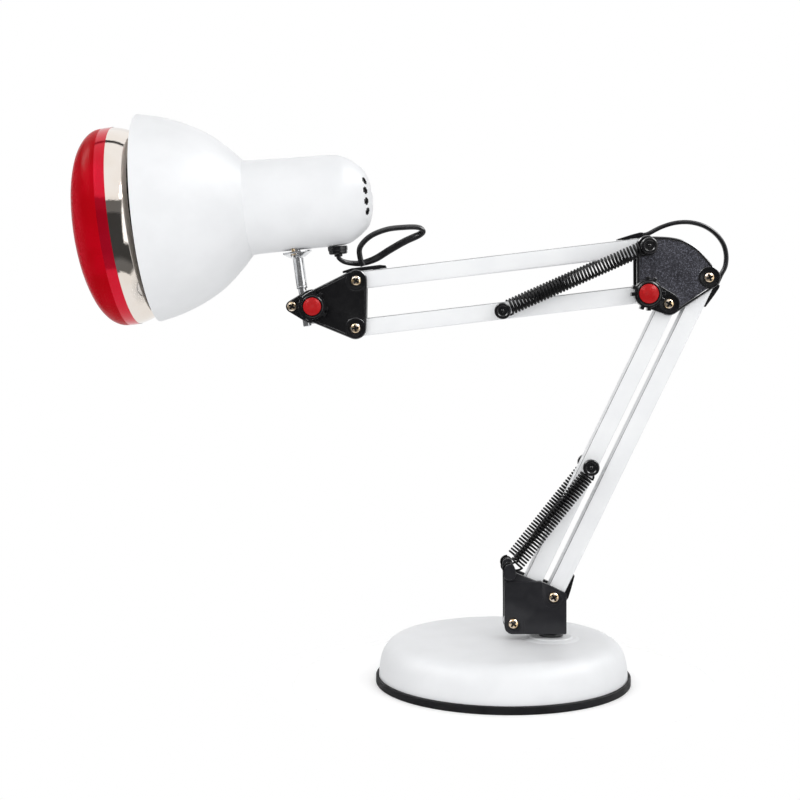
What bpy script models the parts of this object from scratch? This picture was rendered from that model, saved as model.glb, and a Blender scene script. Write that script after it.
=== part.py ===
# Infrared therapy lamp on a sprung parallelogram arm.
# Metres, +Z up. The origin is the middle of the underside of the round base.
# The arm lies in the XZ plane. The lamp head points along -X and the front is -Y.
# Each moving group hangs on an empty that stands on its joint axis.

import math

import bmesh
import bpy
from mathutils import Matrix, Vector
from mathutils.geometry import interpolate_bezier

# Clearances and shared small sizes
seat_gap = 0.0003
overrun = 0.0040
edge_break = 0.0004
merge_distance = 0.000001

# Facets round a full turn, by the size of the piece
large_facets = 36
medium_facets = 24
fine_facets = 20
small_facets = 14
tiny_facets = 10
hexagon_sides = 6
corner_steps = 3
shoulder_steps = 4
cap_dome_steps = 3
route_steps = 12
smooth_angle = math.radians(35)

# Round base: pressed steel shell, rubber rim, pad and cast weight
base_radius = 0.0790
base_wall = 0.0012
base_side_rise = 0.0003
shoulder_width = 0.0125
shoulder_height = 0.0238
rim_wall = 0.0015
rim_height = 0.0050
rim_ledge_height = 0.0018
rim_ledge_width = 0.0038
pad_thickness = 0.0015
weight_inset = 0.0090
weight_height = 0.0165
weight_chamfer = 0.0020
hub_radius = 0.0140

# Swivel under the arm
swivel_offset = 0.0306
seat_ring_radius = 0.0136
seat_ring_top_radius = 0.0122
seat_ring_height = 0.0024
bush_flange_radius = 0.0078
bush_flange_height = 0.0022
bush_shank_radius = 0.0055
swivel_nut_radius = 0.0088
swivel_nut_height = 0.0045
nut_pocket_clearance = 0.0017
swivel_pin_radius = 0.0028
pin_neck_depth = 0.0008
pin_neck_length = 0.0025

# Square bars and the two parallelograms
bar_width = 0.0110
bar_wall = 0.0010
bar_edge_radius = 0.0008
lower_left_reach = 0.0245
lower_left_rise = 0.0066
lower_length = 0.2238
lower_angle = math.radians(64.04)
lower_side = 0.0304
lower_side_angle = math.radians(33.0)
mid_post_reach = 0.0135
mid_post_rise = 0.0364
upper_length = 0.1847
upper_angle = math.radians(186.77)
upper_side = 0.0300
upper_side_angle = math.radians(-90.8)

# Plates that hold the bars
plate_thickness = 0.0030
panel_depth = 0.0005
panel_rim = 0.0013
recess_depth = 0.0010
mid_post_boss_radius = 0.0068
mid_right_boss_radius = 0.0070
mid_left_boss_radius = 0.0073
mid_knob_boss_radius = 0.0062
mid_top_bulge = 0.0068
mid_recess_radius = 0.0056
eye_knob_radius = 0.0096
eye_height = 0.0004
head_boss_radius = 0.0070
head_knob_boss_radius = 0.0095
head_recess_radius = 0.0050

# Foot bracket, drawn round the two lower pivots and the swivel
bracket_left_margin = 0.0056
bracket_right_margin = 0.0080
bracket_top_margin = 0.0100
bracket_side_rise = 0.0024
bracket_slope_margin = 0.0080
bracket_corner_radius = 0.0050
bracket_box_thickness = 0.0038
bracket_recess_radius = 0.0046
gusset_thickness = 0.0024
gusset_foot_reach = 0.0149
gusset_shoulder_drop = 0.0030
horn_reach = 0.0272
horn_rise = 0.0418
horn_boss_radius = 0.0032
horn_keeper_radius = 0.0040
horn_keeper_drop = 0.0028
foot_block_reach = 0.0101
foot_block_height = 0.0116

# Fasteners
pivot_radius = 0.0020
screw_head_radius = 0.00315
screw_head_height = 0.0016
screw_face_share = 0.62
screw_round_share = 0.45
cross_width = 0.0009
cross_length = 0.0040
cross_depth = 0.0008
cross_angle = math.radians(30)
bolt_radius = 0.0023
bolt_head_radius = 0.0046
bolt_head_height = 0.0030
blind_depth = 0.0018

# Clamp knobs with their red caps
mid_knob_radius = 0.0108
head_knob_radius = 0.0086
knob_tooth_height = 0.0012
knob_tooth_count = 12
tooth_top_share = 0.42
tooth_foot_share = 0.56
knob_height = 0.0070
knob_well_depth = 0.0016
mid_cap_radius = 0.0061
head_cap_radius = 0.0056
cap_dome_height = 0.0018
cap_stem_length = 0.0016

# Tension springs and their posts
wire_radius = 0.0006
coil_radius = 0.00375
lower_curls = 9
upper_curls = 13
points_per_curl = 8
hook_sweep = math.radians(230)
hook_lead = math.radians(40)
hook_steps = 5
coil_margin = 0.0064
lower_post_reach = 0.1100
upper_post_reach = 0.0918
post_pin_radius = 0.0020
post_cap_radius = 0.0052
post_cap_height = 0.0036
post_cap_dome = 0.0010

# Head clamp and chromed stem
knob_reach = 0.0271
knob_drop = 0.0163
clamp_disc_radius = 0.0095
clamp_boss_radius = 0.0039
clamp_screw_reach = 0.0135
clamp_screw_radius = 0.0015
clamp_head_radius = 0.0030
stem_tilt = math.radians(7.9)
stem_bolt_gap = 0.00075
rod_radius = 0.00265
rod_below = 0.0120
rod_above = 0.0122
sleeve_radius = 0.00345
sleeve_length = 0.0199
spigot_radius = 0.0020
spigot_length = 0.0080
stem_chamfer = 0.0005
flange_radius = 0.0092
flange_rim = 0.0008
flange_height = 0.0039
flange_hub_radius = 0.0046
flange_waist_share = 0.72
flange_waist_height_share = 0.36
flange_seat = 0.0005
flange_screw_side = 0.0062
flange_screw_back = 0.0019
flange_screw_radius = 0.0011
flange_screw_head_radius = 0.0019
flange_screw_head_height = 0.0011
flange_screw_length = 0.0070

# Reflector bulb, measured along the head's axis from the plane of the shade's rim
head_tilt = math.radians(6.0)
bulb_radius = 0.0628
bulb_throat = 0.0600
lens_reach = 0.0450
lens_side_start = 0.0200
lens_border = 0.0150
lens_wall = 0.0015
bulb_wall = 0.0012
bulb_neck_radius = 0.0170
bulb_neck_length = 0.0340
bulb_neck_taper = 0.0057
glass_tail_radius = 0.0124
glass_tail_length = 0.0041
cap_radius = 0.0132
cap_length = 0.0255
cap_tip_radius = 0.0050
cap_tip_length = 0.0022
cap_tip_share = 0.80

# Shade, lamp socket and holder, fitted round the bulb
shade_margin = 0.0032
shade_wall = 0.0010
throat_clearance = 0.0025
neck_lip = 0.0007
neck_opening_gap = 0.0040
socket_clearance = 0.0005
socket_wall = 0.0058
socket_depth = 0.0295
socket_floor = 0.0045
socket_flange_thickness = 0.0035
socket_flange_setback = 0.0120
holder_front_radius = 0.0298
holder_rear_radius = 0.0289
holder_rear_room = 0.0157
holder_dome_length = 0.0247
holder_drop = 0.0010
holder_wall = 0.0012
flange_setback = 0.0282
vent_places = (-1.5, -0.5, 0.5, 1.5)
vent_spacing = math.radians(22.5)
vent_ring_radius = 0.0170
vent_radius = 0.0020

# Cord, its outlet under the lamp holder and its clips on the bars
cord_radius = 0.00145
cord_slot_width = 0.0044
gland_radius = 0.0063
gland_height = 0.0052
gland_rim = 0.0010
gland_setback = 0.0010
clip_length = 0.0165
clip_height = 0.0034
clip_tip_height = 0.0009
clip_width = 0.0090
clip_start = 0.0010
clip_leg_start = 0.0083
clip_leg_length = 0.0050
clip_crest_shares = [(0.45, 0.78), (0.12, 1.0), (0.0, 0.92)]
head_clip_length = 0.0280
head_clip_height = 0.0024
head_clip_overhang = 0.0080
head_clip_leg_start = 0.0041
cord_step = 0.0055

# Routes of the cord's two free loops, chosen by eye
head_route = [
    (-0.10433, 0.0000, 0.26962), (-0.10390, 0.0002, 0.26800), (-0.10110, 0.0022, 0.26610),
    (-0.09600, 0.0046, 0.26510), (-0.08950, 0.0056, 0.26520), (-0.08100, 0.0054, 0.26800),
    (-0.07200, 0.0048, 0.27350), (-0.06230, 0.0036, 0.27900), (-0.05330, 0.0022, 0.28310),
    (-0.05050, 0.0010, 0.28570), (-0.05420, 0.0000, 0.28780), (-0.06340, -0.0004, 0.28770),
    (-0.07400, -0.0006, 0.28630), (-0.08420, -0.0006, 0.28200), (-0.09060, -0.0004, 0.27510),
    (-0.09050, -0.0002, 0.26800), (-0.08860, 0.0000, 0.26320),
]
mid_route = [
    (0.08898, 0.0, 0.28292), (0.09220, 0.0, 0.28365), (0.10050, 0.0, 0.28785),
    (0.10950, 0.0, 0.29055), (0.11900, 0.0, 0.29090), (0.12790, 0.0, 0.28850),
    (0.13520, 0.0, 0.28360), (0.14000, 0.0, 0.27710), (0.14180, 0.0, 0.27000),
    (0.14120, 0.0, 0.26300), (0.13860, 0.0, 0.25780), (0.13580, 0.0, 0.25190),
]


def polar(length, angle):
    return Vector((math.cos(angle), 0.0, math.sin(angle))) * length


# Heights of the base and swivel
shell_bottom = rim_ledge_height + seat_gap
base_height = shell_bottom + base_side_rise + shoulder_height
seat_top = base_height + seat_ring_height
bracket_bottom = seat_top + bush_flange_height + seat_gap * 2
rim_ledge_inner_radius = base_radius - rim_ledge_width
swivel = Vector((swivel_offset, 0.0, 0.0))

# Layers outward from the middle plane of the arm
plate_inner = bar_width / 2 + seat_gap
plate_outer = plate_inner + plate_thickness
bracket_outer = plate_inner + bracket_box_thickness
spring_plane = plate_outer + seat_gap + coil_radius + wire_radius
hook_inner_radius = coil_radius - wire_radius
post_radius = hook_inner_radius - seat_gap
cap_face = spring_plane + wire_radius + seat_gap
post_end = cap_face + post_cap_height
screw_face = -plate_outer + recess_depth - seat_gap
screw_tip = plate_inner + blind_depth - seat_gap

# Pivots of the two parallelograms
lower_vector = polar(lower_length, lower_angle)
upper_vector = polar(upper_length, upper_angle)
upper_side_vector = polar(upper_side, upper_side_angle)
lower_left_pivot = swivel + Vector((-lower_left_reach, 0.0, bracket_bottom + lower_left_rise))
lower_right_pivot = lower_left_pivot + polar(lower_side, lower_side_angle)
mid_left_pivot = lower_left_pivot + lower_vector
mid_right_pivot = lower_right_pivot + lower_vector
mid_post_pivot = mid_left_pivot + Vector((-mid_post_reach, 0.0, mid_post_rise))
mid_knob_pivot = mid_post_pivot + upper_side_vector
head_top_pivot = mid_post_pivot + upper_vector
head_bottom_pivot = mid_knob_pivot + upper_vector
horn_center = swivel + Vector((-horn_reach, 0.0, bracket_bottom + horn_rise))
knob_axis = head_top_pivot - Vector((knob_reach, 0.0, knob_drop))

# Stem, whose top carries the head
stem_direction = Vector((-math.sin(stem_tilt), 0.0, math.cos(stem_tilt)))
stem_across = Vector((-math.cos(stem_tilt), 0.0, -math.sin(stem_tilt)))
stem_point = knob_axis + stem_across * (rod_radius + bolt_radius + stem_bolt_gap)
flange_bottom = rod_above + sleeve_length
flange_top = flange_bottom + flange_height

# Stations of the head, from the bulb outward to the holder
shade_radius = bulb_radius + shade_margin
shade_length = bulb_throat + throat_clearance
neck_radius = holder_front_radius + neck_lip
neck_opening_radius = bulb_neck_radius + neck_opening_gap
cap_start = bulb_throat + bulb_neck_length
cap_tip_end = cap_start + cap_length + cap_tip_length
socket_bore_radius = cap_radius + socket_clearance
socket_radius = socket_bore_radius + socket_wall
socket_bottom = cap_tip_end + seat_gap
socket_start = socket_bottom - socket_depth
socket_end = socket_bottom + socket_floor
holder_start = shade_length + seat_gap
holder_end = socket_end + holder_rear_room
dome_start = holder_end - holder_dome_length
gland_station = dome_start - gland_setback
flange_station = shade_length + flange_setback


def clear_objects():
    for old in list(bpy.data.objects):
        bpy.data.objects.remove(old, do_unlink=True)


def make_material(name, color, roughness, metallic):
    material = bpy.data.materials.new(name)
    material.use_nodes = True
    shader = material.node_tree.nodes["Principled BSDF"]
    shader.inputs["Base Color"].default_value = (*color, 1.0)
    shader.inputs["Roughness"].default_value = roughness
    shader.inputs["Metallic"].default_value = metallic
    material.diffuse_color = (*color, 1.0)
    return material


def make_frame(name, place, turn=0.0, parent=None):
    # An empty on a joint axis. A positive turn tips its local X upward.
    frame = bpy.data.objects.new(name, None)
    frame.empty_display_size = bar_width
    bpy.context.collection.objects.link(frame)
    world = Matrix.Translation(place) @ Matrix.Rotation(-turn, 4, "Y")
    if parent is not None:
        frame.parent = parent
        frame.matrix_parent_inverse = world_of(parent).inverted()
    frame.matrix_basis = world
    frame["world"] = [value for row in world for value in row]
    return frame


def world_of(frame):
    values = list(frame["world"])
    return Matrix([values[row * 4:row * 4 + 4] for row in range(4)])


def link_mesh(name, builder):
    bmesh.ops.remove_doubles(builder, verts=builder.verts, dist=merge_distance)
    bmesh.ops.dissolve_degenerate(builder, edges=builder.edges, dist=merge_distance)
    bmesh.ops.recalc_face_normals(builder, faces=builder.faces)
    mesh = bpy.data.meshes.new(name)
    builder.to_mesh(mesh)
    builder.free()
    piece = bpy.data.objects.new(name, mesh)
    bpy.context.collection.objects.link(piece)
    return piece


def turned(name, profile, segments, along="Z"):
    # Revolves a closed outline of (radius, height) pairs about the height axis.
    builder = bmesh.new()
    ring = [builder.verts.new((radius, 0.0, height)) for radius, height in profile]
    edges = [builder.edges.new((ring[i - 1], ring[i])) for i in range(len(ring))]
    bmesh.ops.spin(builder, geom=ring + edges, cent=(0, 0, 0), axis=(0, 0, 1),
                   angle=math.tau, steps=segments, use_duplicate=False)
    piece = link_mesh(name, builder)
    if along == "Y":
        piece.data.transform(Matrix.Rotation(-math.pi / 2, 4, "X"))
    if along == "X":
        piece.data.transform(Matrix.Rotation(math.pi / 2, 4, "Y"))
    return piece


def cylinder(name, radius, start, end, segments, along="Y"):
    return turned(name, [(0, start), (radius, start), (radius, end), (0, end)], segments, along)


def prism(name, outline, front, back, bevel=0.0, panel_side=0):
    # Extrudes an outline of (x, z) points from y = front to y = back.
    # A panel is let into the face on the given side, within a raised rim.
    builder = bmesh.new()
    ring = [builder.verts.new((x, front, z)) for x, z in outline]
    face = builder.faces.new(ring)
    grown = bmesh.ops.extrude_face_region(builder, geom=[face])
    far_ring = [item for item in grown["geom"] if isinstance(item, bmesh.types.BMVert)]
    bmesh.ops.translate(builder, verts=far_ring, vec=(0, back - front, 0))
    bmesh.ops.recalc_face_normals(builder, faces=builder.faces)
    if bevel > 0:
        rims = [edge for edge in builder.edges
                if abs(edge.verts[0].co.y - edge.verts[1].co.y) < merge_distance]
        bmesh.ops.bevel(builder, geom=rims, offset=bevel, segments=1, profile=0.5,
                        affect="EDGES", material=-1)
    if panel_side:
        panel = max(builder.faces, key=lambda item: item.calc_area() * item.normal.y * panel_side)
        bmesh.ops.inset_region(builder, faces=[panel], thickness=panel_rim, use_even_offset=True)
        bmesh.ops.inset_region(builder, faces=[panel], thickness=panel_depth / 2,
                               depth=-panel_depth, use_even_offset=True)
    return link_mesh(name, builder)


def block(name, low, high):
    outline = [(low[0], low[2]), (high[0], low[2]), (high[0], high[2]), (low[0], high[2])]
    return prism(name, outline, low[1], high[1])


def combine(piece, others, operation):
    for index, other in enumerate(others):
        step = piece.modifiers.new(f"{operation.lower()}_{index}", "BOOLEAN")
        step.operation = operation
        step.solver = "EXACT"
        step.object = other
    bpy.context.view_layer.update()
    graph = bpy.context.evaluated_depsgraph_get()
    result = bpy.data.meshes.new_from_object(piece.evaluated_get(graph))
    piece.modifiers.clear()
    piece.data = result
    for other in others:
        bpy.data.objects.remove(other, do_unlink=True)
    return piece


def cut(piece, *cutters):
    return combine(piece, cutters, "DIFFERENCE")


def join(piece, *others):
    return combine(piece, others, "UNION")


def hang(piece, material, frame, local=False):
    # Gives a piece its material and frame. One modelled in world places is brought home first.
    piece.data.materials.clear()
    piece.data.materials.append(material)
    if not local:
        piece.data.transform(world_of(frame).inverted())
    piece.parent = frame
    return piece


def finish(piece, material, frame, local=False):
    piece.data.shade_smooth()
    piece.data.set_sharp_from_angle(angle=smooth_angle)
    return hang(piece, material, frame, local)


def moved(piece, offset):
    piece.data.transform(Matrix.Translation(offset))
    return piece


def arc(x, z, radius, start, end, steps):
    angles = [start + (end - start) * step / steps for step in range(steps + 1)]
    return [(x + radius * math.cos(angle), z + radius * math.sin(angle)) for angle in angles]


def spot(point, radius):
    return (point.x, point.z, radius)


def hull_outline(circles, steps, bulge=0.0):
    # Outline round a ring of circles (x, z, radius), listed anticlockwise.
    # A bulge lifts the straight run after the first circle into an arc of that height.
    count = len(circles)
    leave = []
    for i in range(count):
        x0, z0, r0 = circles[i]
        x1, z1, r1 = circles[(i + 1) % count]
        heading = math.atan2(z1 - z0, x1 - x0)
        lean = math.acos((r0 - r1) / math.hypot(x1 - x0, z1 - z0))
        leave.append(heading - lean)
    outline = []
    for i in range(count):
        x, z, radius = circles[i]
        start = leave[i - 1]
        end = leave[i]
        while end < start:
            end += math.tau
        outline += arc(x, z, radius, start, end, steps)
        if bulge and i == 0:
            first = Vector(outline[-1])
            last = Vector(arc(*circles[1], leave[0], leave[0], 1)[0])
            across = Vector((last.y - first.y, first.x - last.x)).normalized()
            for step in range(1, steps * 2):
                share = step / (steps * 2)
                outline.append(first.lerp(last, share) + across * bulge * math.sin(math.pi * share))
    return outline


def thinned(points):
    # Every other point of an inner wall, with both its ends, as nothing sees it closely.
    return points[:-1:2] + points[-1:]


def cross_cutter(name, face):
    # Phillips recess sunk from a head's outer face towards +Y.
    long = cross_length / 2
    wide = cross_width / 2
    slot = block(name, (-long, face - overrun, -wide), (long, face + cross_depth, wide))
    other = block(name + "_b", (-wide, face - overrun, -long), (wide, face + cross_depth, long))
    return join(slot, other)


def screw_profile(head_radius, head_height, shank_radius, face, tip):
    # Pan head before its seat at face, with the shank running on to tip.
    front = face - head_height
    return [(0, front), (head_radius * screw_face_share, front),
            (head_radius, front + head_height * screw_round_share), (head_radius, face),
            (shank_radius, face), (shank_radius, tip), (0, tip)]


def pivot_screw(name, place, face, tip, turn=0.0, head_radius=screw_head_radius,
                shank_radius=pivot_radius):
    profile = screw_profile(head_radius, screw_head_height, shank_radius, face, tip)
    piece = turned(name, profile, tiny_facets, "Y")
    cutter = cross_cutter(name + "_cross", face - screw_head_height)
    cutter.data.transform(Matrix.Rotation(cross_angle + turn, 4, "Y"))
    return moved(cut(piece, cutter), place)


def clamp_bolt(name, place, tip):
    # Hexagon head behind the rear plate, shank forward to y = tip.
    seat = plate_outer + seat_gap
    head = cylinder(name, bolt_head_radius, seat, seat + bolt_head_height, hexagon_sides)
    shank = cylinder(name + "_shank", bolt_radius, tip, seat + bolt_head_height / 2, tiny_facets)
    return moved(join(head, shank), place)


def toothed_knob(name, place, radius, cap_radius, face):
    # Castellated rim: each tooth is a step in the outline. A well in front takes the cap.
    outline = []
    pitch = math.tau / knob_tooth_count
    foot = radius - knob_tooth_height
    for tooth in range(knob_tooth_count):
        for share, reach in ((-tooth_foot_share, foot), (-tooth_top_share, radius),
                             (tooth_top_share, radius), (tooth_foot_share, foot)):
            angle = (tooth + share / 2) * pitch
            outline.append((reach * math.cos(angle), reach * math.sin(angle)))
    front = face - knob_height
    top = front - knob_tooth_height
    base = front + knob_tooth_height
    piece = prism(name, outline, front, face)
    ridge = turned(name + "_ridge", [
        (0, top), (cap_radius + knob_tooth_height, top), (foot - knob_tooth_height, base), (0, base),
    ], small_facets, "Y")
    well = cylinder(name + "_well", cap_radius + seat_gap, top - overrun, top + knob_well_depth,
                    small_facets)
    bore = cylinder(name + "_bore", bolt_radius + seat_gap, top - overrun, face + overrun, tiny_facets)
    return moved(cut(join(piece, ridge), well, bore), place)


def knob_cap(name, place, cap_radius, face):
    # Domed button pushed into the knob's well, with a short stem in the bore.
    floor = face - knob_height - knob_tooth_height + knob_well_depth - seat_gap
    lip = floor - knob_well_depth
    stem = bolt_radius - edge_break
    profile = [(0, floor + cap_stem_length), (stem, floor + cap_stem_length), (stem, floor),
               (cap_radius, floor), (cap_radius, lip)]
    for step in range(1, cap_dome_steps + 1):
        angle = math.pi / 2 * step / cap_dome_steps
        profile.append((cap_radius * math.cos(angle), lip - cap_dome_height * math.sin(angle)))
    return moved(turned(name, profile, small_facets, "Y"), place)


def bar(name, length, holes, slots=()):
    # Hollow square bar along local X between two pivots, with rounded lug ends.
    # Cord slots are cut in its outer side, which is local -Z.
    half = bar_width / 2
    outline = arc(length, 0, half, -math.pi / 2, math.pi / 2, corner_steps + 1)
    outline += arc(0, 0, half, math.pi / 2, math.pi * 3 / 2, corner_steps + 1)
    piece = prism(name, outline, -half, half, bevel=bar_edge_radius)
    hollow = half - bar_wall
    past = half + overrun
    cutters = [block(name + "_hollow", (-past, -hollow, -hollow), (length + past, hollow, hollow))]
    for index, (place, radius) in enumerate(holes):
        hole = cylinder(f"{name}_hole_{index}", radius + seat_gap, -past, past, tiny_facets)
        cutters.append(moved(hole, Vector((place, 0, 0))))
    for index, start in enumerate(slots):
        cutters.append(block(f"{name}_slot_{index}", (start, -cord_slot_width / 2, -past),
                             (start + clip_leg_length, cord_slot_width / 2, 0)))
    return cut(piece, *cutters)


def spring_post(name, inner):
    # Rear cap, sleeve and through pin. The front cap pushes onto the pin.
    crown = post_cap_radius - post_cap_dome * 2
    return turned(name, [
        (0, post_end), (crown, post_end), (post_cap_radius, post_end - post_cap_dome),
        (post_cap_radius, cap_face), (post_radius, cap_face), (post_radius, inner),
        (post_pin_radius, inner), (post_pin_radius, -spring_plane), (0, -spring_plane),
    ], tiny_facets, "Y")


def spring_cap(name, inner):
    crown = post_cap_radius - post_cap_dome * 2
    bore = post_pin_radius + seat_gap
    bore_end = -spring_plane - seat_gap
    return turned(name, [
        (0, -post_end), (crown, -post_end), (post_cap_radius, -post_end + post_cap_dome),
        (post_cap_radius, -cap_face), (post_radius, -cap_face), (post_radius, -inner),
        (bore, -inner), (bore, bore_end), (0, bore_end),
    ], tiny_facets, "Y")


def least_gap(points, radius):
    # Smallest clear distance between stretches of one tube that aren't neighbours.
    skip = points_per_curl // 2 + 1
    nearest = min((points[i] - points[j]).length
                  for i in range(len(points)) for j in range(i + skip, len(points)))
    return nearest - 2 * radius


def tube(name, points, radius, resolution):
    curve = bpy.data.curves.new(name, "CURVE")
    curve.dimensions = "3D"
    curve.bevel_depth = radius
    curve.bevel_resolution = resolution
    curve.use_fill_caps = True
    spline = curve.splines.new("POLY")
    spline.points.add(len(points) - 1)
    for target, point in zip(spline.points, points):
        target.co = (*point, 1.0)
    piece = bpy.data.objects.new(name, curve)
    bpy.context.collection.objects.link(piece)
    return piece


def tension_spring(name, start, end, plane, curls):
    # Hook round one post, counted curls, hook round the other post.
    along = (end - start).normalized()
    across = Vector((-along.z, 0.0, along.x))
    length = (end - start).length
    outward = math.copysign(1.0, plane)

    def place(u, v, w=0.0):
        return start + along * u + across * v + Vector((0.0, plane + outward * w, 0.0))

    lead = coil_radius * hook_lead
    run = length - 2 * coil_margin
    total = curls * points_per_curl
    points = []
    for step in range(hook_steps + 1):
        angle = -math.pi / 2 - hook_sweep * (1 - step / hook_steps)
        points.append(place(coil_radius * math.cos(angle), coil_radius * math.sin(angle)))
    points.append(place(coil_margin - lead, -coil_radius))
    for step in range(total + 1):
        angle = math.tau * step / points_per_curl
        points.append(place(coil_margin + run * step / total, -coil_radius * math.cos(angle),
                            coil_radius * math.sin(angle)))
    points.append(place(length - coil_margin + lead, -coil_radius))
    for step in range(hook_steps + 1):
        angle = -math.pi / 2 + hook_sweep * step / hook_steps
        points.append(place(length + coil_radius * math.cos(angle), coil_radius * math.sin(angle)))
    first_heading = (points[1] - points[0]).normalized()
    last_heading = (points[-1] - points[-2]).normalized()
    points.insert(0, points[0] - first_heading * wire_radius * 2)
    points.append(points[-1] + last_heading * wire_radius * 2)
    print(name, "least gap to itself, mm:", round(least_gap(points, wire_radius) * 1000, 2))
    return tube(name, points, wire_radius, 1)


def smooth_route(route):
    # Reads evenly spaced points from a smooth curve through the route's own points.
    knots = [Vector(point) for point in route]
    dense = []
    for i in range(len(knots) - 1):
        before = knots[max(i - 1, 0)]
        after = knots[min(i + 2, len(knots) - 1)]
        handle_a = knots[i] + (knots[i + 1] - before) / 6
        handle_b = knots[i + 1] - (after - knots[i]) / 6
        dense += interpolate_bezier(knots[i], handle_a, handle_b, knots[i + 1], route_steps)[:-1]
    dense.append(knots[-1])
    lengths = [0.0]
    for i in range(1, len(dense)):
        lengths.append(lengths[-1] + (dense[i] - dense[i - 1]).length)
    count = max(2, round(lengths[-1] / cord_step))
    points = []
    index = 0
    for i in range(count + 1):
        goal = lengths[-1] * i / count
        while index < len(dense) - 2 and lengths[index + 1] < goal:
            index += 1
        share = (goal - lengths[index]) / (lengths[index + 1] - lengths[index])
        points.append(dense[index].lerp(dense[index + 1], share))
    return points


def cord_clip(name, outline, leg_place, leg_height):
    # Wedge on a bar's outer face, with a leg down into the bar's slot.
    wedge = prism(name, outline, -clip_width / 2, clip_width / 2, bevel=edge_break)
    half = cord_slot_width / 2 - seat_gap
    leg = block(name + "_leg",
                (leg_place + seat_gap, -half, -bar_width / 2 - seat_gap - leg_height / 2),
                (leg_place + clip_leg_length - seat_gap, half, -bar_width / 2 + bar_wall + cord_radius))
    return join(wedge, leg)


def bar_clip(name):
    # Thick at the bar's end, where the cord enters, and thin at its tip along the bar.
    face = -bar_width / 2 - seat_gap
    outline = [(clip_start + clip_length * run, face - clip_height * rise)
               for run, rise in reversed(clip_crest_shares)]
    outline += [(clip_start + clip_length, face - clip_tip_height), (clip_start + clip_length, face),
                (clip_start, face)]
    return cord_clip(name, outline, clip_start + clip_leg_start, clip_tip_height)


def build_base(frame, steel, rubber, iron, plastic, zinc):
    flat_radius = base_radius - shoulder_width
    shoulder_start = base_height - shoulder_height
    outer = [(base_radius, shell_bottom)]
    inner = [(base_radius - base_wall, shell_bottom)]
    for step in range(shoulder_steps + 1):
        angle = math.pi / 2 * step / shoulder_steps
        out = math.cos(angle)
        up = math.sin(angle)
        outer.append((flat_radius + shoulder_width * out, shoulder_start + shoulder_height * up))
        inner.append((flat_radius + (shoulder_width - base_wall) * out,
                      shoulder_start + (shoulder_height - base_wall) * up))
    profile = outer + [(0, base_height), (0, base_height - base_wall)] + thinned(inner)[::-1]
    shell = turned("base_shell", profile, large_facets)
    ring_foot = base_height - base_wall / 2
    ring = turned("seat_ring", [
        (0, ring_foot), (seat_ring_radius, ring_foot), (seat_ring_radius, base_height),
        (seat_ring_top_radius, seat_top), (0, seat_top)], medium_facets)
    shank_bore = bush_shank_radius + seat_gap
    hole = cylinder("shell_hole", shank_bore, -overrun, seat_top + overrun, small_facets, "Z")
    finish(cut(join(shell, moved(ring, swivel)), moved(hole, swivel)), steel, frame)

    wall_inner = base_radius + seat_gap
    rim_radius = base_radius + rim_wall
    finish(turned("rubber_rim", [
        (rim_ledge_inner_radius, 0), (rim_radius, 0), (rim_radius, rim_height - edge_break),
        (rim_radius - edge_break, rim_height), (wall_inner, rim_height),
        (wall_inner, rim_ledge_height), (rim_ledge_inner_radius, rim_ledge_height),
    ], large_facets), rubber, frame)

    pad_radius = rim_ledge_inner_radius - seat_gap
    finish(cylinder("base_pad", pad_radius, 0, pad_thickness, large_facets, "Z"), rubber, frame)

    weight_bottom = pad_thickness + seat_gap
    weight_top = weight_bottom + weight_height
    weight_radius = base_radius - weight_inset
    weight = turned("base_weight", [
        (0, weight_bottom), (weight_radius, weight_bottom),
        (weight_radius, weight_top - weight_chamfer), (weight_radius - weight_chamfer, weight_top),
        (0, weight_top)], medium_facets)
    hub = cylinder("hub", hub_radius, weight_bottom + weight_chamfer,
                   base_height - base_wall - seat_gap, small_facets, "Z")
    bore = cylinder("weight_bore", shank_bore, -overrun, base_height + overrun, small_facets, "Z")
    pocket = cylinder("nut_pocket", swivel_nut_radius + nut_pocket_clearance, -overrun,
                      shell_bottom + swivel_nut_height + seat_gap, small_facets, "Z")
    weight = join(weight, moved(hub, swivel))
    finish(cut(weight, moved(bore, swivel), moved(pocket, swivel)), iron, frame)

    pin_bore = swivel_pin_radius + seat_gap
    bush = turned("swivel_bush", [
        (pin_bore, shell_bottom), (bush_shank_radius, shell_bottom),
        (bush_shank_radius, seat_top + seat_gap), (bush_flange_radius, seat_top + seat_gap),
        (bush_flange_radius, bracket_bottom - seat_gap), (pin_bore, bracket_bottom - seat_gap),
    ], small_facets)
    finish(moved(bush, swivel), plastic, frame)
    nut = cylinder("swivel_nut", swivel_nut_radius, shell_bottom, shell_bottom + swivel_nut_height,
                   hexagon_sides, "Z")
    nut_bore = cylinder("nut_bore", shank_bore, -overrun, base_height, small_facets, "Z")
    finish(moved(cut(nut, nut_bore), swivel), zinc, frame)


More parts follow.
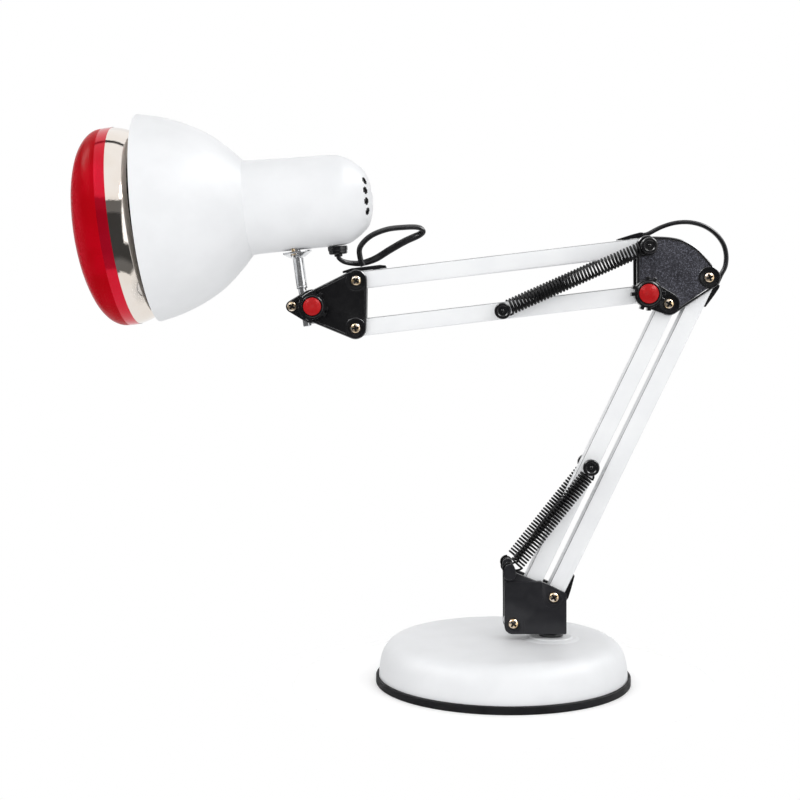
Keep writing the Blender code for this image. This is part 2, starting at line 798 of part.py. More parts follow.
def bracket_half(name, side):
    # side is -1 for the front half and +1 for the rear half.
    def layer(near, far):
        return sorted((side * near, side * far))

    left = lower_left_pivot.x - bracket_left_margin
    right = lower_right_pivot.x + bracket_right_margin
    top = lower_right_pivot.z + bracket_top_margin
    slope_start = lower_right_pivot.x - bracket_slope_margin
    corner = bracket_corner_radius
    outline = arc(left + corner, bracket_bottom + corner, corner, math.pi, math.pi * 3 / 2,
                  corner_steps + 2)
    outline += [(right, bracket_bottom), (right, lower_right_pivot.z + bracket_side_rise),
                (slope_start, top), (left, top)]
    box = prism(name, outline, *layer(plate_inner, bracket_outer))

    gusset_bottom = bracket_bottom + corner * 2
    outline = [(left, gusset_bottom), (slope_start, gusset_bottom),
               (lower_left_pivot.x + gusset_foot_reach, top),
               (horn_center.x + horn_boss_radius, horn_center.z - gusset_shoulder_drop)]
    outline += arc(horn_center.x, horn_center.z, horn_boss_radius, 0, math.pi, corner_steps + 2)
    gusset_outer = plate_inner + gusset_thickness
    gusset = prism(name + "_gusset", outline, *layer(plate_inner, gusset_outer))

    peg = cylinder(name + "_peg", post_radius,
                   *layer(plate_inner + gusset_thickness / 2, cap_face + seat_gap), tiny_facets)
    keeper_foot = horn_center - Vector((0, 0, horn_keeper_drop))
    keeper_outline = hull_outline([spot(keeper_foot, horn_keeper_radius),
                                   spot(horn_center, post_radius + seat_gap * 2)], corner_steps)
    keeper = prism(name + "_keeper", keeper_outline,
                   *layer(cap_face, cap_face + post_cap_height / 2), bevel=edge_break)

    inner, outer = layer(seat_gap / 2, plate_inner + seat_gap)
    foot_top = bracket_bottom + foot_block_height
    foot = block(name + "_foot", (swivel.x - foot_block_reach, inner, bracket_bottom),
                 (right, outer, foot_top))
    piece = join(box, gusset, moved(peg, horn_center), keeper, foot)
    pin_hole = cylinder(name + "_pin_hole", swivel_pin_radius + seat_gap, -overrun,
                        foot_top - base_wall, tiny_facets, "Z")
    cutters = [moved(pin_hole, swivel)]
    reach = bracket_outer + overrun if side < 0 else plate_inner + blind_depth
    for index, pivot in enumerate((lower_left_pivot, lower_right_pivot)):
        hole = cylinder(f"{name}_hole_{index}", pivot_radius + seat_gap, *layer(0, reach), tiny_facets)
        cutters.append(moved(hole, pivot))
        if side < 0:
            recess = cylinder(f"{name}_recess_{index}", bracket_recess_radius,
                              *layer(bracket_outer - recess_depth, reach), small_facets)
            cutters.append(moved(recess, pivot))
    return cut(piece, *cutters)


def build_bracket(frame, plastic, steel, brass):
    finish(bracket_half("bracket_front", -1), plastic, frame)
    finish(bracket_half("bracket_rear", 1), plastic, frame)
    pin_top = bracket_bottom + foot_block_height - base_wall - seat_gap
    neck_start = shell_bottom + pin_neck_length
    neck_end = neck_start + pin_neck_length
    neck_radius_of_pin = swivel_pin_radius - pin_neck_depth
    pin = turned("swivel_pin", [
        (0, shell_bottom), (swivel_pin_radius - edge_break, shell_bottom),
        (swivel_pin_radius, shell_bottom + edge_break), (swivel_pin_radius, neck_start),
        (neck_radius_of_pin, neck_start), (neck_radius_of_pin, neck_end),
        (swivel_pin_radius, neck_end), (swivel_pin_radius, pin_top), (0, pin_top)], tiny_facets)
    finish(moved(pin, swivel), steel, frame)
    face = -bracket_outer + recess_depth - seat_gap
    finish(pivot_screw("bracket_screw_left", lower_left_pivot, face, screw_tip), brass, frame)
    finish(pivot_screw("bracket_screw_right", lower_right_pivot, face, screw_tip,
                       turn=math.radians(20)), brass, frame)


def plate_pair(names, outline, frame, material, front_parts, screws, recess_radius, through):
    # Front plate with screw recesses, rear plate with blind screw seats.
    front = prism(names[0], outline, -plate_outer, -plate_inner, panel_side=-1)
    if front_parts:
        front = join(front, *front_parts)
    rear = prism(names[1], outline, plate_inner, plate_outer, panel_side=1)
    past = plate_outer + overrun
    front_cutters = []
    rear_cutters = []
    for index, place in enumerate(screws):
        radius = pivot_radius + seat_gap
        hole = cylinder(f"{names[0]}_hole_{index}", radius, -past, 0, tiny_facets)
        recess = cylinder(f"{names[0]}_recess_{index}", recess_radius, -past,
                          -plate_outer + recess_depth, small_facets)
        seat = cylinder(f"{names[1]}_seat_{index}", radius, 0, plate_inner + blind_depth, tiny_facets)
        front_cutters += [moved(hole, place), moved(recess, place)]
        rear_cutters.append(moved(seat, place))
    for index, (place, radius) in enumerate(through):
        front_hole = cylinder(f"{names[0]}_through_{index}", radius + seat_gap, -past, 0, tiny_facets)
        rear_hole = cylinder(f"{names[1]}_through_{index}", radius + seat_gap, 0, past, tiny_facets)
        front_cutters.append(moved(front_hole, place))
        rear_cutters.append(moved(rear_hole, place))
    finish(cut(front, *front_cutters), material, frame)
    finish(cut(rear, *rear_cutters), material, frame)


def hang_post(prefix, inner, place, plastic, frame, local):
    finish(moved(spring_post(prefix + "_spring_post", inner), place), plastic, frame, local)
    finish(moved(spring_cap(prefix + "_spring_cap", inner), place), plastic, frame, local)


def hang_springs(prefix, start, end, curls, wire, frame):
    for side, plane in (("front", -spring_plane), ("rear", spring_plane)):
        hang(tension_spring(f"{prefix}_spring_{side}", start, end, plane, curls), wire, frame)


def build_lower_arm(left_frame, right_frame, white, plastic, wire):
    left_holes = [(0, pivot_radius), (lower_length, pivot_radius), (lower_post_reach, post_pin_radius)]
    right_holes = [(0, pivot_radius), (lower_length, pivot_radius)]
    foot_slot = clip_start + clip_leg_start
    slots = (foot_slot, lower_length - foot_slot - clip_leg_length)
    finish(bar("lower_bar_left", lower_length, left_holes), white, left_frame, local=True)
    finish(bar("lower_bar_right", lower_length, right_holes, slots), white, right_frame, local=True)
    post_place = Vector((lower_post_reach, 0, 0))
    hang_post("lower", plate_inner, post_place, plastic, left_frame, local=True)
    post_world = lower_left_pivot + polar(lower_post_reach, lower_angle)
    hang_springs("lower", horn_center, post_world, lower_curls, wire, left_frame)

    finish(bar_clip("base_cord_clip"), plastic, right_frame, local=True)
    clip = bar_clip("mid_cord_clip_lower")
    clip.data.transform(Matrix.Scale(-1, 4, Vector((1, 0, 0))))
    clip.data.flip_normals()
    finish(moved(clip, Vector((lower_length, 0, 0))), plastic, right_frame, local=True)


def build_mid_joint(frame, plastic, brass, steel):
    circles = [spot(mid_right_pivot, mid_right_boss_radius), spot(mid_post_pivot, mid_post_boss_radius),
               spot(mid_knob_pivot, mid_knob_boss_radius), spot(mid_left_pivot, mid_left_boss_radius)]
    outline = hull_outline(circles, corner_steps, mid_top_bulge)
    eye_outline = hull_outline([spot(mid_knob_pivot, eye_knob_radius),
                                spot(mid_left_pivot, mid_left_boss_radius - edge_break)],
                               corner_steps + 2)
    eye = prism("eye", eye_outline, -plate_outer - eye_height, -plate_inner - plate_thickness / 2)
    through = [(mid_knob_pivot, bolt_radius), (mid_post_pivot, post_pin_radius)]
    plate_pair(("mid_plate_front", "mid_plate_rear"), outline, frame, plastic, [eye],
               (mid_left_pivot, mid_right_pivot), mid_recess_radius, through)
    finish(pivot_screw("mid_screw_left", mid_left_pivot, screw_face, screw_tip), brass, frame)
    finish(pivot_screw("mid_screw_right", mid_right_pivot, screw_face, screw_tip,
                       turn=math.radians(40)), brass, frame)
    hang_post("mid", plate_outer + seat_gap, mid_post_pivot, plastic, frame, local=False)
    knob_face = -plate_outer - eye_height - seat_gap
    finish(clamp_bolt("mid_bolt", mid_knob_pivot, knob_face - knob_height / 2), steel, frame)
    return knob_face


def build_knob(prefix, frame, place, radius, cap_radius, face, plastic, red):
    finish(toothed_knob(prefix + "_knob", place, radius, cap_radius, face), plastic, frame)
    finish(knob_cap(prefix + "_knob_cap", place, cap_radius, face), red, frame)


def head_slot_place():
    return upper_length + head_clip_overhang - head_clip_length + head_clip_leg_start


def build_upper_arm(top_frame, bottom_frame, white, plastic, wire):
    top_holes = [(0, post_pin_radius), (upper_length, pivot_radius)]
    bottom_holes = [(0, bolt_radius), (upper_length, pivot_radius), (upper_post_reach, post_pin_radius)]
    slots = (clip_start + clip_leg_start, head_slot_place())
    finish(bar("upper_bar_top", upper_length, top_holes, slots), white, top_frame, local=True)
    finish(bar("upper_bar_bottom", upper_length, bottom_holes), white, bottom_frame, local=True)
    post_place = Vector((upper_post_reach, 0, 0))
    hang_post("upper", plate_inner, post_place, plastic, bottom_frame, local=True)
    post_world = mid_knob_pivot + polar(upper_post_reach, upper_angle)
    hang_springs("upper", post_world, mid_post_pivot, upper_curls, wire, bottom_frame)

    finish(bar_clip("mid_cord_clip_upper"), plastic, top_frame, local=True)
    # The head clip is long and low, rounded at both ends, and takes the cord from above.
    face = -bar_width / 2 - seat_gap
    end = upper_length + head_clip_overhang
    start = end - head_clip_length
    shoulder = face - head_clip_height / 2
    crest = face - head_clip_height
    outline = [(start, face), (start + head_clip_height / 4, shoulder),
               (start + head_clip_height, crest), (end - head_clip_height * 5 / 2, crest),
               (end, shoulder), (end, face)]
    clip = cord_clip("head_cord_clip", outline, head_slot_place(), head_clip_height)
    finish(clip, plastic, top_frame, local=True)


def build_head_joint(frame, plastic, brass, steel):
    circles = [spot(head_top_pivot, head_boss_radius), spot(knob_axis, head_knob_boss_radius),
               spot(head_bottom_pivot, head_boss_radius)]
    plate_pair(("head_plate_front", "head_plate_rear"), hull_outline(circles, corner_steps), frame,
               plastic, [], (head_top_pivot, head_bottom_pivot), head_recess_radius,
               [(knob_axis, bolt_radius)])
    finish(pivot_screw("head_screw_top", head_top_pivot, screw_face, screw_tip,
                       turn=math.radians(10)), brass, frame)
    finish(pivot_screw("head_screw_bottom", head_bottom_pivot, screw_face, screw_tip,
                       turn=math.radians(50)), brass, frame)
    knob_face = -plate_outer - seat_gap
    finish(clamp_bolt("head_bolt", knob_axis, knob_face - knob_height / 2), steel, frame)
    return knob_face


def build_clamp(frame, plastic, brass):
    # Two halves that grip the stem's rod in a round groove between them.
    half_width = bar_width / 2
    screw_place = knob_axis - Vector((clamp_screw_reach, 0, 0))
    outline = hull_outline([spot(knob_axis, clamp_disc_radius), spot(screw_place, clamp_boss_radius)],
                           corner_steps + 2)
    for name, side in (("clamp_front", -1), ("clamp_rear", 1)):
        near, far = sorted((side * seat_gap / 2, side * half_width))
        screw_end = far + overrun if side < 0 else far - blind_depth
        half = prism(name, outline, near, far)
        groove = cylinder(name + "_groove", rod_radius + seat_gap, -clamp_disc_radius * 2,
                          clamp_disc_radius * 2, small_facets, "Z")
        groove.data.transform(Matrix.Rotation(-stem_tilt, 4, "Y"))
        bolt_hole = cylinder(name + "_bolt_hole", bolt_radius + seat_gap, near - overrun,
                             far + overrun, tiny_facets)
        screw_hole = cylinder(name + "_screw_hole", clamp_screw_radius + seat_gap, near - overrun,
                              screw_end, tiny_facets)
        half = cut(half, moved(groove, stem_point), moved(bolt_hole, knob_axis),
                   moved(screw_hole, screw_place))
        finish(half, plastic, frame)
    finish(pivot_screw("clamp_screw", screw_place, -half_width - seat_gap,
                       half_width - blind_depth - seat_gap, head_radius=clamp_head_radius,
                       shank_radius=clamp_screw_radius), brass, frame)


def build_stem(frame, chrome, brass):
    # Local Z runs up the stem from the knob axis level.
    spigot_end = flange_top + spigot_length
    sleeve_end = flange_bottom - seat_gap
    finish(turned("stem", [
        (0, -rod_below), (rod_radius - stem_chamfer, -rod_below),
        (rod_radius, -rod_below + stem_chamfer), (rod_radius, rod_above),
        (sleeve_radius - stem_chamfer, rod_above), (sleeve_radius, rod_above + stem_chamfer),
        (sleeve_radius, sleeve_end), (spigot_radius, sleeve_end), (spigot_radius, spigot_end),
        (0, spigot_end)], small_facets), chrome, frame, local=True)
    bore = spigot_radius + seat_gap
    flange = turned("stem_flange", [
        (bore, flange_bottom), (flange_hub_radius, flange_bottom),
        (flange_radius * flange_waist_share, flange_bottom + flange_height * flange_waist_height_share),
        (flange_radius, flange_top - flange_rim), (flange_radius, flange_top), (bore, flange_top),
    ], fine_facets)
    hole = cylinder("flange_hole", flange_screw_radius + seat_gap, flange_bottom - overrun,
                    flange_top + overrun, tiny_facets, "Z")
    seat = cylinder("flange_seat", flange_screw_head_radius + seat_gap, flange_bottom - overrun,
                    flange_top - flange_rim, tiny_facets, "Z")
    place = flange_screw_place()
    finish(cut(flange, moved(hole, place), moved(seat, place)), chrome, frame, local=True)
    face = flange_top - flange_rim - seat_gap
    profile = screw_profile(flange_screw_head_radius, flange_screw_head_height, flange_screw_radius,
                            face, face - flange_screw_head_height + flange_screw_length)
    finish(moved(turned("flange_screw", profile, tiny_facets), place), brass, frame, local=True)


def flange_screw_place():
    return Vector((-flange_screw_back, -flange_screw_side, 0))


def shade_profile():
    # Bell curve from the rim to the neck, as shares of the radius drop and the length.
    drop = shade_radius - neck_radius
    bell_shares = [(0.0, 0.0), (0.09, 0.22), (0.25, 0.46), (0.47, 0.68), (0.74, 0.86), (1.0, 1.0)]
    return [(shade_radius - drop * fall, shade_length * run) for fall, run in bell_shares]


def holder_profile(wall):
    # Slightly tapered tube, then a rounded rear end.
    dome_shares = [(0.0, 0.0), (0.03, 0.26), (0.107, 0.445), (0.24, 0.66), (0.40, 0.84),
                   (0.68, 0.955), (1.0, 1.0)]
    rear_radius = holder_rear_radius - wall
    dome_length = holder_dome_length - wall
    dome = [(rear_radius * (1 - fall), dome_start + dome_length * run) for fall, run in dome_shares]
    return [(holder_front_radius - wall, holder_start)] + dome


def holder_radius_at(station):
    share = min(1.0, (station - holder_start) / (dome_start - holder_start))
    return holder_front_radius + (holder_rear_radius - holder_front_radius) * share


def head_place():
    # The holder's underside rests on the stem's flange.
    axis = polar(1, head_tilt)
    down = polar(1, head_tilt - math.pi / 2)
    stem_end = stem_point + stem_direction * flange_top
    reach = holder_drop + holder_radius_at(flange_station) + flange_seat
    return stem_end - axis * flange_station - down * reach


def bulb_profile(wall):
    # Rounded cone from the border of the lens back to the throat, then the start of the neck.
    body_shares = [(1.0, 0.0), (0.965, 0.107), (0.888, 0.225), (0.729, 0.413), (0.484, 0.68),
                   (0.303, 0.92)]
    span = bulb_throat + lens_border
    border = seat_gap / 2 - lens_border
    points = [(bulb_radius * wide - wall, max(span * deep - lens_border, border))
              for wide, deep in body_shares]
    points.append((bulb_neck_radius - wall, bulb_throat + bulb_neck_radius / 2))
    return points


def build_head(frame, stem_frame, white, ceramic, rubber):
    # The head's local Z runs back along its axis from the plane of the shade's rim. The holder
    # and the gland sit a little below that axis.
    outer = shade_profile()
    drop = Vector((holder_drop, 0, 0))
    inner = [(radius - shade_wall, z - shade_wall / 2 * (z > 0)) for radius, z in outer]
    neck = [(neck_opening_radius, shade_length), (neck_opening_radius, shade_length - shade_wall)]
    shade = turned("shade", outer + neck + thinned(inner)[::-1], large_facets)
    finish(shade, white, frame, local=True)

    inside = holder_profile(holder_wall)
    shell = turned("holder_shell", holder_profile(0) + (inside[:2] + thinned(inside[2:]))[::-1],
                   medium_facets)
    moved(shell, drop)
    cutters = []
    for side in (-1, 1):
        for index, place in enumerate(vent_places):
            angle = side * math.pi / 2 + place * vent_spacing
            center = drop + Vector((math.cos(angle), math.sin(angle), 0)) * vent_ring_radius
            vent = cylinder(f"vent_{side}_{index}", vent_radius, dome_start, holder_end + overrun,
                            hexagon_sides, "Z")
            cutters.append(moved(vent, center))
    to_head = world_of(frame).inverted() @ world_of(stem_frame)
    spigot_hole = cylinder("spigot_hole", spigot_radius + seat_gap, flange_top - overrun,
                           flange_top + overrun * 2, tiny_facets, "Z")
    screw_hole = cylinder("flange_screw_hole", flange_screw_radius + seat_gap,
                          flange_top - overrun, flange_top + overrun * 2, tiny_facets, "Z")
    moved(screw_hole, flange_screw_place())
    for hole in (spigot_hole, screw_hole):
        hole.data.transform(to_head)
        cutters.append(hole)
    cord_hole = cylinder("cord_hole", cord_radius * 2, 0, holder_front_radius + overrun,
                         tiny_facets, "X")
    cutters.append(moved(cord_hole, Vector((0, 0, gland_station))))
    finish(cut(shell, *cutters), white, frame, local=True)

    flange_start = socket_start + socket_flange_setback
    flange_end = flange_start + socket_flange_thickness
    flange_reach = holder_radius_at(flange_end) - holder_wall - holder_drop - seat_gap
    finish(turned("lamp_socket", [
        (socket_bore_radius, socket_start), (socket_radius, socket_start),
        (socket_radius, flange_start), (flange_reach, flange_start), (flange_reach, flange_end),
        (socket_radius, flange_end), (socket_radius, socket_end), (0, socket_end),
        (0, socket_bottom), (socket_bore_radius, socket_bottom)], fine_facets),
        ceramic, frame, local=True)

    gland = turned("cord_gland", [
        (0, 0), (gland_radius, 0), (gland_radius, gland_height - gland_rim),
        (gland_radius - gland_rim, gland_height), (0, gland_height)], small_facets, "X")
    gland_seat = holder_drop + holder_radius_at(gland_station) + seat_gap
    finish(moved(gland, Vector((gland_seat, 0, gland_station))), rubber, frame, local=True)


def build_bulb(frame, glass, mirror, brass):
    lens_shares = [(1.0, 0.0), (0.985, 0.25), (0.92, 0.48), (0.80, 0.68), (0.60, 0.85),
                   (0.32, 0.96), (0.0, 1.0)]
    crown = lens_reach - lens_side_start
    border = -lens_border - seat_gap / 2
    outer = [(bulb_radius, border)]
    inner = [(bulb_radius - lens_wall, border)]
    for wide, deep in lens_shares:
        outer.append((bulb_radius * wide, -lens_side_start - crown * deep))
        inner.append(((bulb_radius - lens_wall) * wide, -lens_side_start - (crown - lens_wall) * deep))
    lens = turned("bulb_lens", outer + thinned(inner)[::-1], medium_facets)
    finish(lens, glass, frame, local=True)

    outer = bulb_profile(0)
    inner = bulb_profile(bulb_wall)
    tail_end = cap_start + glass_tail_length
    tail = [(bulb_neck_radius, cap_start - bulb_neck_taper), (glass_tail_radius, cap_start - seat_gap),
            (glass_tail_radius, tail_end), (0, tail_end), (0, outer[-1][1])]
    reflector = turned("bulb_reflector", outer + tail + inner[::-1], medium_facets)
    finish(reflector, mirror, frame, local=True)

    inside = glass_tail_radius + seat_gap
    cap_end = cap_start + cap_length
    finish(turned("bulb_cap", [
        (inside, cap_start), (cap_radius, cap_start), (cap_radius, cap_end - cap_tip_radius),
        (cap_tip_radius, cap_end), (cap_tip_radius * cap_tip_share, cap_tip_end), (0, cap_tip_end),
        (0, tail_end + seat_gap), (inside, tail_end + seat_gap)], fine_facets),
        brass, frame, local=True)


def build_cords(top_frame, right_frame, rubber):
    # Two free loops, and two hidden runs that lie against the slotted wall inside the bars.
    hang(tube("head_cord_loop", smooth_route(head_route), cord_radius, 2), rubber, top_frame)
    hang(tube("mid_cord_loop", smooth_route(mid_route), cord_radius, 2), rubber, top_frame)
    depth = -bar_width / 2 + bar_wall + cord_radius + seat_gap
    start = clip_start + clip_leg_start + clip_leg_length + seat_gap
    for name, end, frame in (("upper_cord_run", head_slot_place() - seat_gap, top_frame),
                             ("lower_cord_run", lower_length - start, right_frame)):
        run = [Vector((start, 0, depth)), Vector((end, 0, depth))]
        hang(tube(name, run, cord_radius, 2), rubber, frame, local=True)


def main():
    clear_objects()
    white = make_material("white_enamel", (0.86, 0.87, 0.88), 0.35, 0.0)
    black = make_material("black_plastic", (0.012, 0.012, 0.014), 0.5, 0.0)
    rubber = make_material("black_rubber", (0.015, 0.015, 0.016), 0.7, 0.0)
    iron = make_material("cast_iron", (0.08, 0.08, 0.085), 0.7, 0.6)
    steel = make_material("zinc_steel", (0.55, 0.56, 0.58), 0.35, 1.0)
    brass = make_material("yellow_zinc", (0.75, 0.58, 0.36), 0.3, 1.0)
    wire = make_material("black_spring_wire", (0.015, 0.015, 0.017), 0.35, 0.4)
    red = make_material("red_plastic", (0.62, 0.01, 0.012), 0.4, 0.0)
    chrome = make_material("chrome", (0.8, 0.8, 0.82), 0.12, 1.0)
    glass = make_material("red_glass", (0.7, 0.005, 0.03), 0.15, 0.0)
    mirror = make_material("silvered_glass", (0.85, 0.85, 0.85), 0.08, 1.0)
    ceramic = make_material("ceramic", (0.8, 0.79, 0.75), 0.4, 0.0)

    base = make_frame("base_frame", Vector())
    bracket = make_frame("bracket_frame", swivel, parent=base)
    lower_left = make_frame("lower_left_frame", lower_left_pivot, lower_angle, bracket)
    lower_right = make_frame("lower_right_frame", lower_right_pivot, lower_angle, bracket)
    mid = make_frame("mid_frame", mid_left_pivot, parent=lower_left)
    mid_knob = make_frame("mid_knob_frame", mid_knob_pivot, parent=mid)
    upper_top = make_frame("upper_top_frame", mid_post_pivot, upper_angle, mid)
    upper_bottom = make_frame("upper_bottom_frame", mid_knob_pivot, upper_angle, mid)
    head_joint = make_frame("head_joint_frame", head_top_pivot, parent=upper_top)
    head_knob = make_frame("head_knob_frame", knob_axis, parent=head_joint)
    clamp = make_frame("clamp_frame", knob_axis, parent=head_joint)
    stem = make_frame("stem_frame", stem_point, stem_tilt, clamp)
    head = make_frame("head_frame", head_place(), head_tilt - math.pi / 2, stem)

    build_base(base, white, rubber, iron, black, steel)
    build_bracket(bracket, black, steel, brass)
    build_lower_arm(lower_left, lower_right, white, black, wire)
    mid_face = build_mid_joint(mid, black, brass, steel)
    build_knob("mid", mid_knob, mid_knob_pivot, mid_knob_radius, mid_cap_radius, mid_face, black, red)
    build_upper_arm(upper_top, upper_bottom, white, black, wire)
    head_face = build_head_joint(head_joint, black, brass, steel)
    build_knob("head", head_knob, knob_axis, head_knob_radius, head_cap_radius, head_face, black, red)
    build_clamp(clamp, black, brass)
    build_stem(stem, chrome, brass)
    build_head(head, stem, white, ceramic, rubber)
    build_bulb(head, glass, mirror, brass)
    build_cords(upper_top, lower_right, rubber)


main()
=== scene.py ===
# Looks of the infrared therapy lamp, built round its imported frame.
# Metres, +Z up, front is -Y, the head points along -X.
from functools import partial
from math import acos, asin, atan2, copysign, cos, exp, hypot, pi, radians, sin, tan, tau

import bmesh
import bpy
from mathutils import Matrix, Vector


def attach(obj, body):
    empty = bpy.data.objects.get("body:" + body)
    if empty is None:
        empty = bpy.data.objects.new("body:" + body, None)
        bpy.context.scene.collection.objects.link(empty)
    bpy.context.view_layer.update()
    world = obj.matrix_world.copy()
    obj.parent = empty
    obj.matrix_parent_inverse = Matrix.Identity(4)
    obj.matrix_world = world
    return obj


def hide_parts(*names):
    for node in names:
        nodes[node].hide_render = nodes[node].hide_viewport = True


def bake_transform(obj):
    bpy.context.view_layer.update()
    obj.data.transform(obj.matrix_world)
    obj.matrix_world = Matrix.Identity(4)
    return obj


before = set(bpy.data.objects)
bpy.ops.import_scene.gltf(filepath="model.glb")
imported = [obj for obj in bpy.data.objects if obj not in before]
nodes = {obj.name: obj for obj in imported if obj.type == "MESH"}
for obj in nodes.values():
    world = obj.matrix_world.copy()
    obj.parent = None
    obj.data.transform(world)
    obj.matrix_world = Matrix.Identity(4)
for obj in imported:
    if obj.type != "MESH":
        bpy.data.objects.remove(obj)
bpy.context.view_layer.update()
scene = bpy.context.scene

# Places shared by many pieces, worked out as the part's source does
gap = 0.0003
barHalf = 0.0055
plateInner = barHalf + gap
plateOuter = plateInner + 0.003
bracketOuter = plateInner + 0.0038
hookRadius = 0.00375
springPlane = plateOuter + gap + hookRadius + 0.0006
capFace = springPlane + 0.0009
postEnd = capFace + 0.0036
postRadius = 0.00285
screwHole = 0.0023
recessDeep = 0.001
threadEnd = plateInner + 0.0018
bracketBottom = 0.0314
lowerAngle = radians(64.04)
upperAngle = radians(186.77)
lowerLength = 0.2238
upperLength = 0.1847
lowerReach = 0.11
upperReach = 0.0918
headTilt = radians(6.0)
stemTilt = radians(7.9)
halves = (("Front", -1), ("Rear", 1))


def polar(length, angle):
    return Vector((cos(angle), 0, sin(angle))) * length


swivel = Vector((0.0306, 0, 0))
lowerLeft = swivel + Vector((-0.0245, 0, bracketBottom + 0.0066))
lowerRight = lowerLeft + polar(0.0304, radians(33.0))
midLeft = lowerLeft + polar(lowerLength, lowerAngle)
midRight = lowerRight + polar(lowerLength, lowerAngle)
midPost = midLeft + Vector((-0.0135, 0, 0.0364))
midKnob = midPost + polar(0.03, radians(-90.8))
headTop = midPost + polar(upperLength, upperAngle)
headBottom = midKnob + polar(upperLength, upperAngle)
horn = swivel + Vector((-0.0272, 0, bracketBottom + 0.0418))
knobAxis = headTop - Vector((0.0271, 0, 0.0163))
stemPoint = knobAxis - polar(1, stemTilt) * 0.0057
headCenter = Vector((-0.223966, 0, 0.293613))


def atPlace(place):
    return Matrix.Translation(place)


def standing(place, turn):
    # A positive turn tips the local X upward.
    return atPlace(place) @ Matrix.Rotation(-turn, 4, "Y")


lowerLeftBar = standing(lowerLeft, lowerAngle)
lowerRightBar = standing(lowerRight, lowerAngle)
upperTopBar = standing(midPost, upperAngle)
upperBottomBar = standing(midKnob, upperAngle)
stemSpace = standing(stemPoint, stemTilt)
headSpace = standing(headCenter, headTilt - pi / 2)
print("frame loaded")

# Camera at the photograph's place
cameraData = bpy.data.cameras.new("photoCamera")
cameraData.sensor_width = 36
cameraData.lens = 67.5
cameraData.shift_x = -0.01875
cameraData.shift_y = -0.125
camera = bpy.data.objects.new("photoCamera", cameraData)
scene.collection.objects.link(camera)
camera.location = (-0.05575, -0.9525, 0.24162)
camera.rotation_euler = (pi / 2, 0, 0)
scene.camera = camera
scene.view_settings.view_transform = "Standard"


def feed(tree, target, inputs):
    # Each input takes a constant or another node's output.
    for key, value in inputs.items():
        if isinstance(value, bpy.types.NodeSocket):
            tree.links.new(value, target.inputs[key])
        else:
            target.inputs[key].default_value = value
    return target


def newNode(tree, kind, inputs=None, **settings):
    made = tree.nodes.new("ShaderNode" + kind)
    for name, value in settings.items():
        setattr(made, name, value)
    return feed(tree, made, inputs or {})


def mathNode(tree, operation, first, second):
    return newNode(tree, "Math", {0: first, 1: second}, operation=operation).outputs[0]


def ramped(tree, value, low, high, start=0, end=1):
    limits = {"Value": value, "From Min": low, "From Max": high, "To Min": start, "To Max": end}
    return newNode(tree, "MapRange", limits, interpolation_type="SMOOTHSTEP").outputs["Result"]


def within(tree, value, low, high, soft=0.03):
    # 1 between the two limits, falling to 0 beyond them
    rise = ramped(tree, value, low - soft, low)
    return mathNode(tree, "MULTIPLY", rise, ramped(tree, value, high, high + soft, 1, 0))


